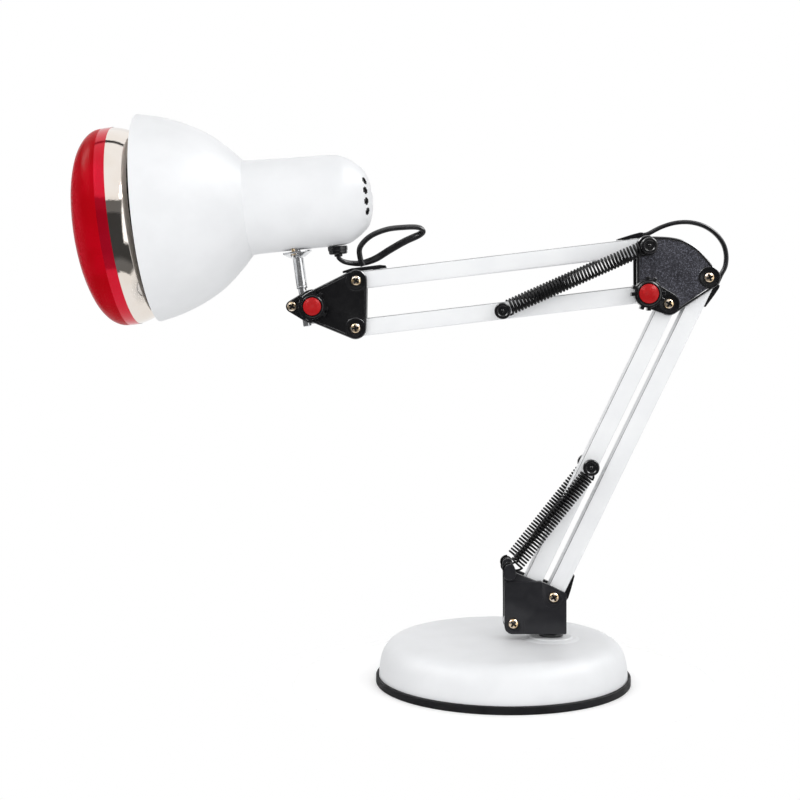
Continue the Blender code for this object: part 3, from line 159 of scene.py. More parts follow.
def buildStudio():
    # White for the camera, even light for matt surfaces. Gloss sees a pale box overhead with a seam
    # across it, a box at the right, two bright windows high up, and a dark front and left.
    room = {"sky": 0.88, "ground": 0.84, "open": 0.92, "panel": 1, "seam": 0.05, "side": 1.5,
            "windowRight": 12.0, "windowLeft": 10.0, "dark": 0.95, "darkLow": 0.84}
    world = bpy.data.worlds.new("studio")
    scene.world = world
    world.use_nodes = True
    tree = world.node_tree
    tree.nodes.clear()
    direction = newNode(tree, "TexCoord").outputs["Generated"]
    across, along, up = newNode(tree, "SeparateXYZ", {0: direction}).outputs
    operations = ("MULTIPLY", "ADD", "SUBTRACT", "MAXIMUM")
    times, plus, less, most = (partial(mathNode, tree, name) for name in operations)
    ramp = partial(ramped, tree)
    fall = partial(ramped, tree, start=1.0, end=0.0)
    band = partial(within, tree)

    glow = ramp(up, 0.5, 0.56, room["open"], room["panel"])
    seam = times(band(along, 0.345, 0.405, 0.02), ramp(up, 0.7, 0.76))
    glow = less(glow, times(seam, room["panel"] - room["seam"]))
    facing = most(fall(along, -0.42, -0.3), fall(across, -0.55, -0.4))
    clear = most(fall(across, 0.52, 0.58), fall(up, -0.32, -0.26))
    dim = times(times(facing, clear), band(up, -0.77, 0.47))
    ends = most(fall(up, -0.68, -0.5), ramp(up, 0.22, 0.3))
    depth = ramp(ends, 0, 1, room["dark"], room["darkLow"])
    glow = times(glow, less(1, times(dim, depth)))
    side = times(band(across, 0.58, 0.95), times(band(up, -0.24, 0.44), fall(along, -0.45, -0.35)))
    glow = plus(glow, times(side, room["side"] - room["open"]))
    high = times(ramp(up, 0.5, 0.56), fall(along, 0.3, 0.45))
    for start, end, level in ((0.5, 0.82, "windowRight"), (-0.8, -0.5, "windowLeft")):
        window = times(band(across, start, end, 0.05), high)
        glow = plus(glow, times(window, room[level] - room["panel"]))

    light = ramp(up, -0.3, 0.1, room["ground"], room["sky"])
    light, mirrored, backdrop = (
        newNode(tree, "Background", {"Color": (1, 1, 1, 1), "Strength": strength}).outputs[0]
        for strength in (light, glow, 1))
    rays = newNode(tree, "LightPath").outputs
    for seen, shown in (("Is Glossy Ray", mirrored), ("Is Camera Ray", backdrop)):
        light = newNode(tree, "MixShader", {"Fac": rays[seen], 1: light, 2: shown}).outputs[0]
    newNode(tree, "OutputWorld", {"Surface": light})

    aim = Vector((-0.03, 0, 0.16))
    for name, place, size, power in (("keyLamp", (0.8, -0.85, 0.95), 0.5, 1.9),
                                     ("fillLamp", (-0.9, -0.8, 0.7), 0.8, 0.6),
                                     ("frontLamp", (-0.1, -1.05, 0.3), 0.5, 2.05)):
        data = bpy.data.lights.new(name, "AREA")
        data.shape = "SQUARE"
        data.size = size
        data.energy = power
        lamp = bpy.data.objects.new(name, data)
        lamp.visible_glossy = False
        scene.collection.objects.link(lamp)
        lamp.location = place
        lamp.rotation_euler = (aim - Vector(place)).to_track_quat("-Z", "Y").to_euler()


buildStudio()
print("camera and studio placed")


# Shader groups used by many materials
def newGroup(name, scale, output):
    group = bpy.data.node_groups.new(name, "ShaderNodeTree")
    socket = group.interface.new_socket("Scale", in_out="INPUT", socket_type="NodeSocketFloat")
    socket.default_value = scale
    group.interface.new_socket(output, in_out="OUTPUT", socket_type="NodeSocketFloat")
    inputs = {"Scale": group.nodes.new("NodeGroupInput").outputs["Scale"],
              "Vector": newNode(group, "TexCoord").outputs["Object"]}
    return group, inputs, group.nodes.new("NodeGroupOutput").inputs[output]


def makeMottle():
    # Slow cloudy change over a surface, 0 to 1
    group, inputs, result = newGroup("mottle", 60.0, "Mask")
    cloud = newNode(group, "TexNoise", {**inputs, "Detail": 4.0})
    group.links.new(ramped(group, cloud.outputs["Fac"], 0.34, 0.66), result)
    return group


def makeGrain():
    # Fine pitted skin of paint or moulded plastic
    group, inputs, result = newGroup("grain", 1500.0, "Height")
    fine = newNode(group, "TexNoise", {**inputs, "Detail": 2.0})
    pits = newNode(group, "TexVoronoi", inputs, feature="SMOOTH_F1")
    total = newNode(group, "Math", {0: pits.outputs["Distance"], 1: 0.6, 2: fine.outputs["Fac"]},
                    operation="MULTIPLY_ADD")
    group.links.new(total.outputs[0], result)
    return group


def makeSpark():
    # Scattered bright points, painted glints of textured plastic
    group, inputs, result = newGroup("spark", 1400.0, "Mask")
    cells = newNode(group, "TexVoronoi", inputs)
    parts = newNode(group, "SeparateColor", {"Color": cells.outputs["Color"]})
    group.links.new(ramped(group, parts.outputs[0], 0.62, 0.95), result)
    return group


mottle = makeMottle()
grain = makeGrain()
spark = makeSpark()


def useGroup(tree, group, scale):
    return newNode(tree, "Group", {"Scale": scale}, node_tree=group).outputs[0]


def mixed(tree, mask, first, second):
    # A mix node's colours are its inputs 6 and 7 and its output 2.
    first, second = ((*tint, 1) if isinstance(tint, tuple) else tint for tint in (first, second))
    return newNode(tree, "Mix", {0: mask, 6: first, 7: second}, data_type="RGBA").outputs[2]


def surface(name, tints, rough, grainScale, grainDepth, mottleScale=45.0, metallic=0.0, coat=0.0,
            coatRough=0.1, glints=None, specular=0.5, extra=None):
    # tints and rough are each a pair, mixed by the cloudy mask.
    material = bpy.data.materials.new(name)
    material.use_nodes = True
    tree = material.node_tree
    mask = useGroup(tree, mottle, mottleScale)
    color = mixed(tree, mask, *tints)
    # Painted glints: bright points mixed into the colour
    if glints:
        color = mixed(tree, useGroup(tree, spark, glints["scale"]), color, glints["tint"])
    height = useGroup(tree, grain, grainScale)
    if extra:
        color, height = extra(tree, color, height)
    bump = newNode(tree, "Bump", {"Distance": grainDepth, "Height": height})
    feed(tree, tree.nodes["Principled BSDF"], {
        "Base Color": color, "Roughness": ramped(tree, mask, 0, 1, *rough),
        "Normal": bump.outputs["Normal"], "Metallic": metallic, "Coat Weight": coat,
        "Coat Roughness": coatRough, "Specular IOR Level": specular})
    return material


def stippled(tree, color, height):
    # Pebbled front of the lens, kept off its smooth side by the stored station along the axis.
    station = newNode(tree, "Attribute", attribute_name="station")
    front = ramped(tree, station.outputs["Fac"], -0.036, -0.029, 1, 0)
    place = newNode(tree, "TexCoord").outputs["Object"]
    pebbles = newNode(tree, "TexVoronoi", {"Scale": 620.0, "Vector": place}, feature="SMOOTH_F1")
    times = partial(mathNode, tree, "MULTIPLY")
    raised = times(pebbles.outputs["Distance"], front)
    total = mathNode(tree, "ADD", times(raised, -6.0), times(height, 0.1))
    return mixed(tree, times(raised, 0.8), color, (0.62, 0.02, 0.04)), total


whitePaint = surface("whitePaint", ((0.785, 0.795, 0.81), (0.815, 0.825, 0.84)), (0.38, 0.46), 900, 0.00002,
                     specular=0.22)
# Painted light: a lighter copy of the white paint, so the bars come out brighter than the other white parts
litBarWhite = surface("litBarWhite", ((0.81, 0.82, 0.835), (0.84, 0.85, 0.86)), (0.32, 0.42), 1100, 0.00002,
                   specular=0.3)
# Grey for the painted shade along the bars' rounded upper edges
edgeShadeGrey = surface("edgeShadeGrey", ((0.34, 0.345, 0.35), (0.42, 0.425, 0.43)), (0.28, 0.38), 1100, 0.00002)
satinBlack = surface("satinBlack", ((0.006, 0.006, 0.007), (0.008, 0.008, 0.009)), (0.23, 0.26), 2200,
                     0.00002, 260, coat=0.5, specular=0.4)
# A lighter, glossier copy of the black for painted highlights on the plates' rounded rims
rimGlintBlack = surface("rimGlintBlack", ((0.01, 0.01, 0.012), (0.016, 0.016, 0.018)), (0.16, 0.22), 2200, 0.00001,
                    260, coat=1.0, coatRough=0.12, specular=1.0)
bracketBlack = surface("bracketBlack", ((0.015, 0.015, 0.018), (0.018, 0.018, 0.021)), (0.28, 0.32), 2000,
                       0.00002, 200, specular=0.4)
grainBlack = surface("grainBlack", ((0.02, 0.02, 0.026), (0.025, 0.025, 0.032)), (0.44, 0.58), 1900,
                     0.00014, 160, glints={"scale": 2300.0, "tint": (0.115, 0.117, 0.145)}, specular=0.3)
knobBlack = surface("knobBlack", ((0.005, 0.005, 0.006), (0.008, 0.008, 0.009)), (0.18, 0.26), 1600, 0.00003,
                    150, coat=0.5)
rubberBlack = surface("rubberBlack", ((0.006, 0.006, 0.007), (0.011, 0.011, 0.012)), (0.5, 0.66), 1300,
                      0.00006, 80, specular=0.15)
cordBlack = surface("cordBlack", ((0.008, 0.008, 0.009), (0.013, 0.013, 0.015)), (0.26, 0.36), 1800, 0.00003,
                    140)
springBlack = surface("springBlack", ((0.003, 0.003, 0.004), (0.006, 0.006, 0.006)), (0.34, 0.48), 2400,
                      0.00002, 260, specular=0.15)
yellowZinc = surface("yellowZinc", ((0.9, 0.66, 0.38), (0.96, 0.84, 0.72)), (0.14, 0.26), 2600, 0.00003,
                     420, 0.85)
zincSteel = surface("zincSteel", ((0.48, 0.49, 0.51), (0.62, 0.63, 0.65)), (0.26, 0.42), 2200, 0.00003,
                    300, 1)
chrome = surface("chrome", ((0.74, 0.75, 0.77), (0.84, 0.85, 0.86)), (0.1, 0.18), 2600, 0.00001, 240, 0.85)
redCap = surface("redCap", ((0.38, 0.004, 0.006), (0.43, 0.006, 0.008)), (0.3, 0.36), 1500, 0.00002, 120,
                 coat=0.12, coatRough=0.3, specular=0.15)
lensRed = surface("lensRed", ((0.38, 0.001, 0.005), (0.44, 0.001, 0.008)), (0.22, 0.3), 900, 0.00003,
                  specular=0.02, extra=stippled)
lensSide = surface("lensSide", ((0.6, 0.004, 0.02), (0.64, 0.006, 0.028)), (0.08, 0.14), 900, 0.00001,
                   metallic=0.58, coat=0.14, coatRough=0.03, specular=0.15)
silverGlass = surface("silverGlass", ((0.83, 0.75, 0.67), (0.86, 0.8, 0.74)), (0.03, 0.06), 900, 0.00001,
                      metallic=1.0, coat=0.3, coatRough=0.02)
castIron = surface("castIron", ((0.045, 0.045, 0.047), (0.1, 0.095, 0.09)), (0.6, 0.8), 700, 0.0003,
                   metallic=0.7)
ceramicWhite = surface("ceramicWhite", ((0.74, 0.72, 0.67), (0.82, 0.8, 0.76)), (0.25, 0.4), 900, 0.00005,
                       coat=0.5)
print("materials made")


# Shapes
weld = 1e-6  # points nearer than this become one
nudges = (0, 0.000002, -0.000003, 0.000005, -0.000007)


def filleted(points, steps=4, closed=True):
    # Rounds each corner that carries a third number, its radius.
    outline = []
    count = len(points)
    for i, point in enumerate(points):
        here = Vector(point[:2])
        inside = closed or 0 < i < count - 1
        if len(point) < 3 or not inside:
            outline.append(here)
            continue
        toLast = (Vector(points[i - 1][:2]) - here).normalized()
        toNext = (Vector(points[(i + 1) % count][:2]) - here).normalized()
        half = toLast.angle(toNext) / 2
        center = here + (toLast + toNext).normalized() * point[2] / sin(half)
        first = here + toLast * point[2] / tan(half) - center
        last = here + toNext * point[2] / tan(half) - center
        start = atan2(first.y, first.x)
        sweep = (atan2(last.y, last.x) - start + pi) % tau - pi
        for step in range(steps + 1):
            angle = start + sweep * step / steps
            outline.append(center + Vector((cos(angle), sin(angle))) * point[2])
    return outline


def smoothLine(points, steps):
    # Catmull-Rom curve through the points
    knots = [Vector(point) for point in points]
    line = []
    for i in range(len(knots) - 1):
        a = knots[max(i - 1, 0)]
        b, c = knots[i], knots[i + 1]
        d = knots[min(i + 2, len(knots) - 1)]
        for step in range(steps):
            t = step / steps
            line.append((b * 2 + (c - a) * t + (a * 2 - b * 5 + c * 4 - d) * t * t
                         + (b * 3 - a - c * 3 + d) * t * t * t) / 2)
    return line + [knots[-1]]


def tuples(points):
    return [tuple(point) for point in points]


def asMatrix(place):
    return place if isinstance(place, Matrix) else atPlace(place)


def spun(profile, steps, place=Matrix(), along="Z"):
    # Revolves a closed line of (radius, height) pairs about an axis through place.
    builder = bmesh.new()
    ring = [builder.verts.new((point[0], 0, point[1])) for point in profile]
    edges = [builder.edges.new((ring[i - 1], ring[i])) for i in range(len(ring))]
    bmesh.ops.spin(builder, geom=ring + edges, cent=(0, 0, 0), axis=(0, 0, 1), angle=tau,
                   steps=steps, use_merge=True, use_duplicate=False)
    place = asMatrix(place)
    if along == "Y":
        place = place @ Matrix.Rotation(-pi / 2, 4, "X")
    if along == "X":
        place = place @ Matrix.Rotation(pi / 2, 4, "Y")
    bmesh.ops.transform(builder, matrix=place, verts=builder.verts)
    return builder


def lifted(level, points):
    # Raises the second number of each point by the level.
    return [(point[0], level + point[1], *point[2:]) for point in points]


def thicken(builder, points, offset):
    # Turns a flat face through the points into a prism.
    face = builder.faces.new([builder.verts.new(point) for point in points])
    grown = bmesh.ops.extrude_face_region(builder, geom=[face])["geom"]
    far = [item for item in grown if isinstance(item, bmesh.types.BMVert)]
    bmesh.ops.translate(builder, verts=far, vec=offset)


def slab(outline, front, back, rim=0.0, steps=3, place=Matrix()):
    # Extrudes (x, z) pairs from y = front to y = back, with rounded rims.
    builder = bmesh.new()
    thicken(builder, [(point[0], front, point[1]) for point in outline], (0, back - front, 0))
    bmesh.ops.recalc_face_normals(builder, faces=builder.faces)
    if rim:
        rims = [edge for edge in builder.edges if abs(edge.verts[0].co.y - edge.verts[1].co.y) < weld]
        bmesh.ops.bevel(builder, geom=rims, offset=rim, segments=steps, profile=0.5, affect="EDGES",
                        material=-1)
    bmesh.ops.transform(builder, matrix=asMatrix(place), verts=builder.verts)
    return builder


def boxed(low, high, place=Matrix()):
    corners = [(low[0], low[2]), (high[0], low[2]), (high[0], high[2]), (low[0], high[2])]
    return slab(corners, low[1], high[1], place=place)


def rod(radius, start, end, place=Matrix(), steps=32, along="Y"):
    return spun([(0, start), (radius, start), (radius, end), (0, end)], steps, place, along)


def layer(side, near, far):
    # A layer at the front (side -1) or the rear (side 1), its lower y first
    return sorted((side * near, side * far))


def asObject(name, builder):
    bmesh.ops.remove_doubles(builder, verts=builder.verts, dist=weld)
    bmesh.ops.dissolve_degenerate(builder, edges=builder.edges, dist=weld)
    loose = [edge for edge in builder.edges if not edge.link_faces]
    bmesh.ops.delete(builder, geom=loose, context="EDGES")
    bmesh.ops.recalc_face_normals(builder, faces=builder.faces)
    mesh = bpy.data.meshes.new(name)
    builder.to_mesh(mesh)
    builder.free()
    piece = bpy.data.objects.new(name, mesh)
    scene.collection.objects.link(piece)
    return piece


def evaluated(item):
    # The item's mesh with its modifiers or its curve settings applied
    bpy.context.view_layer.update()
    graph = bpy.context.evaluated_depsgraph_get()
    return bpy.data.meshes.new_from_object(item.evaluated_get(graph))


def settled(piece):
    piece.data = evaluated(piece)
    piece.modifiers.clear()


def measured(mesh, clean=0.0):
    # The mesh's volume, and how many of its edges are open
    builder = bmesh.new()
    builder.from_mesh(mesh)
    if clean:
        bmesh.ops.remove_doubles(builder, verts=builder.verts, dist=clean)
        bmesh.ops.dissolve_degenerate(builder, edges=builder.edges, dist=clean)
        builder.to_mesh(mesh)
    volume = builder.calc_volume()
    rough = sum(1 for edge in builder.edges if not edge.is_manifold)
    builder.free()
    return volume, rough


def combined(piece, builders, operation):
    # Each tool in turn, moved a few microns and tried again where the solver leaves a bad mesh
    for index, builder in enumerate(builders):
        tool = asObject(f"{piece.name}Tool{index}", builder)
        before = piece.data
        start, rough = measured(before)
        size = measured(tool.data)[0]
        low, high = (start, start + size) if operation == "UNION" else (start - size, start)
        for nudge in nudges:
            tool.location = (nudge, nudge * 0.6, nudge * 0.8)
            step = piece.modifiers.new(tool.name, "BOOLEAN")
            step.operation = operation
            step.solver = "EXACT"
            step.object = tool
            settled(piece)
            volume, left = measured(piece.data, weld * 2)
            if left <= rough and low * 0.99 - 1e-9 < volume < high * 1.01 + 1e-9:
                break
            piece.data = before
        else:
            print("left out", tool.name, start, size, volume, rough, left)
        bpy.data.objects.remove(tool, do_unlink=True)


def without(piece, *builders):
    combined(piece, builders, "DIFFERENCE")


def joined(piece, *builders):
    combined(piece, builders, "UNION")


def eased(piece, width, steps=2, limit=40):
    # Rounds the sharp edges that are left after cutting.
    step = piece.modifiers.new("eased", "BEVEL")
    step.width = width
    step.segments = steps
    step.limit_method = "ANGLE"
    step.angle_limit = radians(limit)
    step.miter_outer = "MITER_ARC"
    settled(piece)


def paint(piece, index, chosen):
    # Gives the faces that the test picks another of the piece's materials.
    for face in piece.data.polygons:
        if chosen(face):
            face.material_index = index


def dress(piece, body, materials, node, sharp=32):
    piece.data.shade_smooth()
    piece.data.set_sharp_from_angle(angle=radians(sharp))
    for material in materials if isinstance(materials, tuple) else (materials,):
        piece.data.materials.append(material)
    if body:
        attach(piece, body)
    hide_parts(node)


def arc(x, z, radius, start, end, steps):
    angles = [start + (end - start) * step / steps for step in range(steps + 1)]
    return [(x + radius * cos(angle), z + radius * sin(angle)) for angle in angles]


def hullOutline(circles, steps, bulge=0.0):
    # Outline round a ring of circles (place, radius), listed anticlockwise; a bulge lifts the first run.
    leave = []
    for i, (here, radius) in enumerate(circles):
        there, other = circles[(i + 1) % len(circles)]
        lean = acos((radius - other) / (there - here).length)
        leave.append(atan2(there.z - here.z, there.x - here.x) - lean)
    outline = []
    for i, (here, radius) in enumerate(circles):
        end = leave[i]
        while end < leave[i - 1]:
            end += tau
        outline += arc(here.x, here.z, radius, leave[i - 1], end, steps)
        if bulge and i == 0:
            first = Vector(outline[-1])
            there, other = circles[1]
            last = Vector(arc(there.x, there.z, other, leave[0], leave[0], 1)[0])
            across = Vector((last.y - first.y, first.x - last.x)).normalized()
            for step in range(1, steps * 2):
                share = step / (steps * 2)
                outline.append(first.lerp(last, share) + across * bulge * sin(pi * share))
    return outline


# Base
def buildBase():
    base = {"radius": 0.0785, "bottom": 0.0021, "rise": 0.0003, "wide": 0.016, "tall": 0.0246,
            "wall": 0.0012, "seat": 0.0016, "full": 2.6, "facets": 144}
    flat = base["radius"] - base["wide"]
    shoulder = base["bottom"] + base["rise"]
    top = shoulder + base["tall"]
    outer = [(base["radius"], base["bottom"])]
    inner = [(base["radius"] - base["wall"], base["bottom"])]
    steps = 24
    for step in range(steps + 1):
        # A full shoulder, squarer than an ellipse
        angle = pi / 2 * step / steps
        out = cos(angle) ** (2 / base["full"]) if step < steps else 0.0
        rise = sin(angle) ** (2 / base["full"])
        outer.append((flat + base["wide"] * out, shoulder + base["tall"] * rise))
        inner.append((flat + (base["wide"] - base["wall"]) * out,
                      shoulder + (base["tall"] - base["wall"]) * rise))
    profile = outer + [(0, top), (0, top - base["wall"])] + inner[::-1]
    shell = asObject("baseDome", spun(profile, base["facets"]))
    seatTop = top + base["seat"]
    ring = [(0, -0.0006), (0.018, -0.0006), (0.018, 0.00001), (0.0156, 0.0007, 0.003), (0.014, 0.0009, 0.0008)]
    seat = filleted(lifted(top, ring) + [(0.0128, seatTop, 0.001), (0, seatTop)], 5)
    joined(shell, spun(seat, 72, swivel))
    without(shell, rod(0.0058, -0.004, top + 0.006, swivel, 48, "Z"))
    dress(shell, "base", whitePaint, "base_shell", 40)

    rim = filleted([(0.0752, 0, 0.0004), (0.0805, 0, 0.0008), (0.0805, 0.0048, 0.0007),
                    (0.0788, 0.005, 0.0002), (0.0788, 0.0018), (0.0752, 0.0018)], 5)
    dress(asObject("rubberLip", spun(rim, 144)), "base", rubberBlack, "rubber_rim")

    seat = seatTop + gap
    collar = filleted([(0.0031, 0.0021), (0.0055, 0.0021), (0.0055, seat), (0.0078, seat, 0.0003),
                       (0.0078, 0.0311, 0.0005), (0.0031, 0.0311)], 3)
    dress(asObject("swivelCollar", spun(collar, 64, swivel)), "base", satinBlack, "swivel_bush")


def phillips(name, body, place, face, tip, turn, node, head=0.00315, shank=0.002):
    # Pan head towards -Y with a cross recess painted dark for its shade
    tall = 0.0016
    top = face - tall
    dome = [(0, 0), (0.3, 0.02), (0.58, 0.1), (0.8, 0.26), (0.94, 0.5), (1, 0.78)]
    profile = [(head * out, top + tall * deep) for out, deep in dome]
    profile += [(head * 0.985, face), (shank, face), (shank, tip), (0, tip)]
    piece = asObject(name, spun(profile, 32, along="Y"))
    arm = head * 0.8
    wide = head * 0.2
    floor = ((0.86, 0.55), (0.3, 0.8), (-0.3, 0.8), (-0.86, 0.55))
    corners = [(-arm, top - 0.001), (arm, top - 0.001)]
    corners += [(arm * out, top + tall * deep) for out, deep in floor]
    for quarter in (0, 1):
        cutter = bmesh.new()
        thicken(cutter, [(x, y, -wide) for x, y in corners], (0, 0, wide * 2))
        turned = Matrix.Rotation(radians(turn) + pi / 2 * quarter, 4, "Y")
        bmesh.ops.transform(cutter, matrix=turned, verts=cutter.verts)
        without(piece, cutter)
    paint(piece, 1, lambda item: hypot(item.center.x, item.center.z) < head * 0.78
          and top + tall * 0.3 < item.center.y < face - 0.0001)
    piece.data.transform(atPlace(place))
    dress(piece, body, (yellowZinc, satinBlack), node)


def jointScrew(name, body, place, turn, node, outer=plateOuter):
    phillips(name, body, place, -outer + recessDeep - gap, threadEnd - gap, turn, node)


# Foot bracket
def buildBracket():
    bracket = {"corner": 0.005, "sharp": 0.001, "lean": 0.0012, "left": 0.0008, "rim": 0.0005, "horn": 0.0032,
               "keeper": 0.0018, "gusset": 0.0024, "inset": 0.0001, "recess": 0.0046, "pocket": 0.0071}
    left = lowerLeft.x - 0.0056
    right = lowerRight.x + 0.008
    top = lowerRight.z + 0.01
    slope = lowerRight.x - 0.008
    foot = lowerLeft.x + 0.0149
    inset = bracket["inset"]
    pocket = bracket["pocket"]
    bend = bracketBottom + bracket["corner"] * 2
    outline = filleted([(left, bracketBottom, bracket["corner"]), (right, bracketBottom, bracket["sharp"]),
                        (right, lowerRight.z + 0.0024, bracket["lean"]), (slope, top, bracket["sharp"]),
                        (left, top, bracket["left"])], 6)
    gusset = [(left + inset, bend), (slope, bend), (foot, top - inset)]
    gusset.append((horn.x + bracket["horn"], horn.z - 0.003))
    gusset += arc(horn.x, horn.z, bracket["horn"], 0, pi, 12)
    keeper = hullOutline([(horn - Vector((0, 0, 0.0028)), 0.004), (horn, postRadius + gap * 2)], 12)
    for label, side in halves:
        piece = asObject("footBracket" + label,
                         slab(outline, *layer(side, plateInner, bracketOuter), rim=bracket["rim"]))
        near, far = layer(side, gap / 2, plateInner + 0.0011)
        block = boxed((swivel.x - 0.0101, near, bracketBottom + 0.0007),
                      (right - 0.0008, far, bracketBottom + 0.0116))
        web = layer(side, plateInner + inset, plateInner + bracket["gusset"])
        joined(piece, block, slab(gusset, *web, rim=0.0003, steps=2),
               rod(postRadius, *layer(side, plateInner + 0.0012, capFace + gap), horn),
               slab(keeper, *layer(side, capFace, capFace + bracket["keeper"]), rim=0.0005))
        cutters = [rod(0.0031, -0.004, bracketBottom + 0.0104, swivel, 24, "Z")]
        for pivot in (lowerLeft, lowerRight):
            reach = bracketOuter + 0.004 if side < 0 else threadEnd
            cutters.append(rod(screwHole, *layer(side, 0, reach), pivot, 24))
            if side < 0:
                cutters.append(rod(bracket["recess"], -reach, recessDeep - bracketOuter, pivot, 40))
        if side < 0:
            # Shallow pockets round the screws, open at the nearer edge of the box
            floor = layer(side, bracketOuter - 0.0004, bracketOuter + 0.002)
            low = arc(lowerLeft.x, lowerLeft.z, pocket, 0, pi, 20)
            low += [(lowerLeft.x + wide, bracketBottom - 0.002) for wide in (-pocket, pocket)]
            beyond = lowerRight.x + pocket + 0.004
            high = arc(lowerRight.x, lowerRight.z, pocket, pi, tau, 20)
            high += [(beyond, lowerRight.z), (beyond, top + 0.002), (lowerRight.x - pocket, top + 0.002)]
            cutters += [slab(low, *floor), slab(high, *floor)]
        without(piece, *cutters)
        eased(piece, 0.00016)
        dress(piece, "bracket", bracketBlack, "bracket_" + label.lower())
    for label, pivot, turn in (("Left", lowerLeft, 38), ("Right", lowerRight, 62)):
        node = "bracket_screw_" + label.lower()
        jointScrew("footScrew" + label, "bracket", pivot, turn, node, bracketOuter)


# Bars and their clips
def buildBar(level, side, length, space, holes, topSide, slots=()):
    half = barHalf
    outline = arc(length, 0, half, -pi / 2, pi / 2, 16) + arc(0, 0, half, pi / 2, pi * 1.5, 16)
    piece = asObject(f"{level}Bar{side.title()}", slab(outline, -half, half, rim=0.0009, steps=4))
    hollow = half - 0.001
    cutters = [boxed((-half * 2, -hollow, -hollow), (length + half * 2, hollow, hollow))]
    cutters += [rod(radius + gap, -0.01, 0.01, (reach, 0, 0), 24) for reach, radius in holes]
    cutters += [boxed((start, -0.0022, -0.01), (start + 0.005, 0.0022, 0)) for start in slots]
    without(piece, *cutters)
    edge = half - 0.0008
    # Painted shade: a grey line along the rounded edges on the upper side
    paint(piece, 1, lambda face: abs(face.normal.y) > 0.2 and face.normal.z * topSide > 0.2
          and abs(face.center.y) > edge and face.center.z * topSide > edge)
    piece.data.transform(space)
    dress(piece, f"{level}_{side}", (litBarWhite, edgeShadeGrey), f"{level}_bar_{side}", 28)


def buildClip(name, body, node, outline, leg, legTop, space, mirror=False):
    half = 0.0045
    piece = asObject(name, slab(filleted(outline), -half, half, rim=0.0004))
    joined(piece, boxed((leg + gap, -0.0019, -barHalf - gap - legTop / 2), (leg + 0.0047, 0.0019, -0.00305)))
    if mirror:
        piece.data.transform(Matrix.Scale(-1, 4, Vector((1, 0, 0))))
        piece.data.flip_normals()
    piece.data.transform(space)
    dress(piece, body, satinBlack, node)


def buildArms():
    pin = 0.002
    footSlot = 0.0093
    headSlot = upperLength - 0.0159
    buildBar("lower", "left", lowerLength, lowerLeftBar, [(0, pin), (lowerLength, pin), (lowerReach, pin)], 1)
    buildBar("lower", "right", lowerLength, lowerRightBar, [(0, pin), (lowerLength, pin)], 1,
             (footSlot, lowerLength - 0.0143))
    buildBar("upper", "top", upperLength, upperTopBar, [(0, pin), (upperLength, pin)], -1,
             (footSlot, headSlot))
    buildBar("upper", "bottom", upperLength, upperBottomBar,
             [(0, screwHole), (upperLength, pin), (upperReach, pin)], -1)

    face = -barHalf - gap
    wedge = lifted(face, [(0.001, -0.0031, 0.0005), (0.003, -0.0034, 0.001), (0.0084, -0.00265, 0.003),
                          (0.0175, -0.0009, 0.0003), (0.0175, 0), (0.001, 0)])
    for name, body, node, space, mirror in (
            ("footCordClip", "lower_right", "base_cord_clip", lowerRightBar, False),
            ("midCordClipLower", "lower_right", "mid_cord_clip_lower",
             lowerRightBar @ atPlace((lowerLength, 0, 0)), True),
            ("midCordClipUpper", "upper_top", "mid_cord_clip_upper", upperTopBar, False)):
        buildClip(name, body, node, wedge, footSlot, 0.0009, space, mirror)
    start = upperLength - 0.02
    end = upperLength + 0.008
    strap = lifted(face, [(start, 0, 0.0001), (start + 0.0003, -0.0016, 0.0007),
                          (start + 0.004, -0.0024, 0.002), (end - 0.006, -0.0024, 0.002),
                          (end, -0.0012, 0.0005), (end, 0)])
    buildClip("headCordClip", "upper_top", "head_cord_clip", strap, headSlot, 0.0024, upperTopBar)


# Plates of the middle and head joints
def buildPlates(joint, outline, eye):
    edge = 0.0009
    groove = ((0.0013 - edge, 0), (0.00018, -0.00006), (0.00016, -0.00026), (0.00018, -0.00018))
    reach = plateOuter + 0.004
    for label, side in halves:
        builder = slab(outline, *layer(side, plateInner, plateOuter), rim=edge, steps=4)
        panel = max(builder.faces, key=lambda item: item.calc_area() * item.normal.y * side)
        for thickness, depth in groove:
            bmesh.ops.inset_region(builder, faces=[panel], thickness=thickness, depth=depth,
                                   use_even_offset=True)
        piece = asObject(joint["label"] + "Plate" + label, builder)
        rise = layer(side, plateInner + 0.0015, plateOuter)
        rounds = (0.0003, 0.00001) if side < 0 else (0.00001, 0.0003)
        parts = [spun(filleted([(0, rise[0]), (radius, rise[0], rounds[0]), (radius, rise[1], rounds[1]),
                                (0, rise[1])], 3), 56, place, "Y") for place, radius in joint["rings"]]
        if side < 0 and eye:
            top = -plateOuter - joint["eyeRise"]
            parts.append(slab(eye, top, -plateInner - 0.0015, rim=0.00035))
        joined(piece, *parts)
        cutters = []
        for place, recess, turn in joint["screws"].values():
            cutters.append(rod(screwHole, *layer(side, 0, reach if side < 0 else threadEnd), place, 24))
            if side < 0:
                cutters.append(rod(recess, -reach, -plateOuter + recessDeep, place, 48))
        for place, radius in joint["through"]:
            cutters.append(rod(radius + gap, *layer(side, 0, reach), place, 28))
        without(piece, *cutters)
        eased(piece, 0.0002, 2, 50)
        level = side * (plateOuter - 0.0005)
        # Painted highlight: the rounded rims take the lighter, glossier black
        paint(piece, 2, lambda face: 0.15 < face.normal.y * side < 0.97
              and face.center.y * side < plateOuter - 0.00002)
        paint(piece, 1, lambda face: abs(face.center.y - level) < 0.00002 and face.normal.y * side > 0.99)
        dress(piece, joint["label"] + "_joint", (satinBlack, joint["panel"], rimGlintBlack),
              joint["label"] + "_plate_" + label.lower())


def hexBolt(name, body, node, place, tip):
    seat = plateOuter + gap
    outline = arc(0, 0, 0.0046, 0, tau, 6)[:-1]
    piece = asObject(name, slab(outline, seat, seat + 0.003, rim=0.00035, steps=2, place=place))
    joined(piece, rod(screwHole, tip, seat + 0.0015, place, 24))
    dress(piece, body, zincSteel, node)


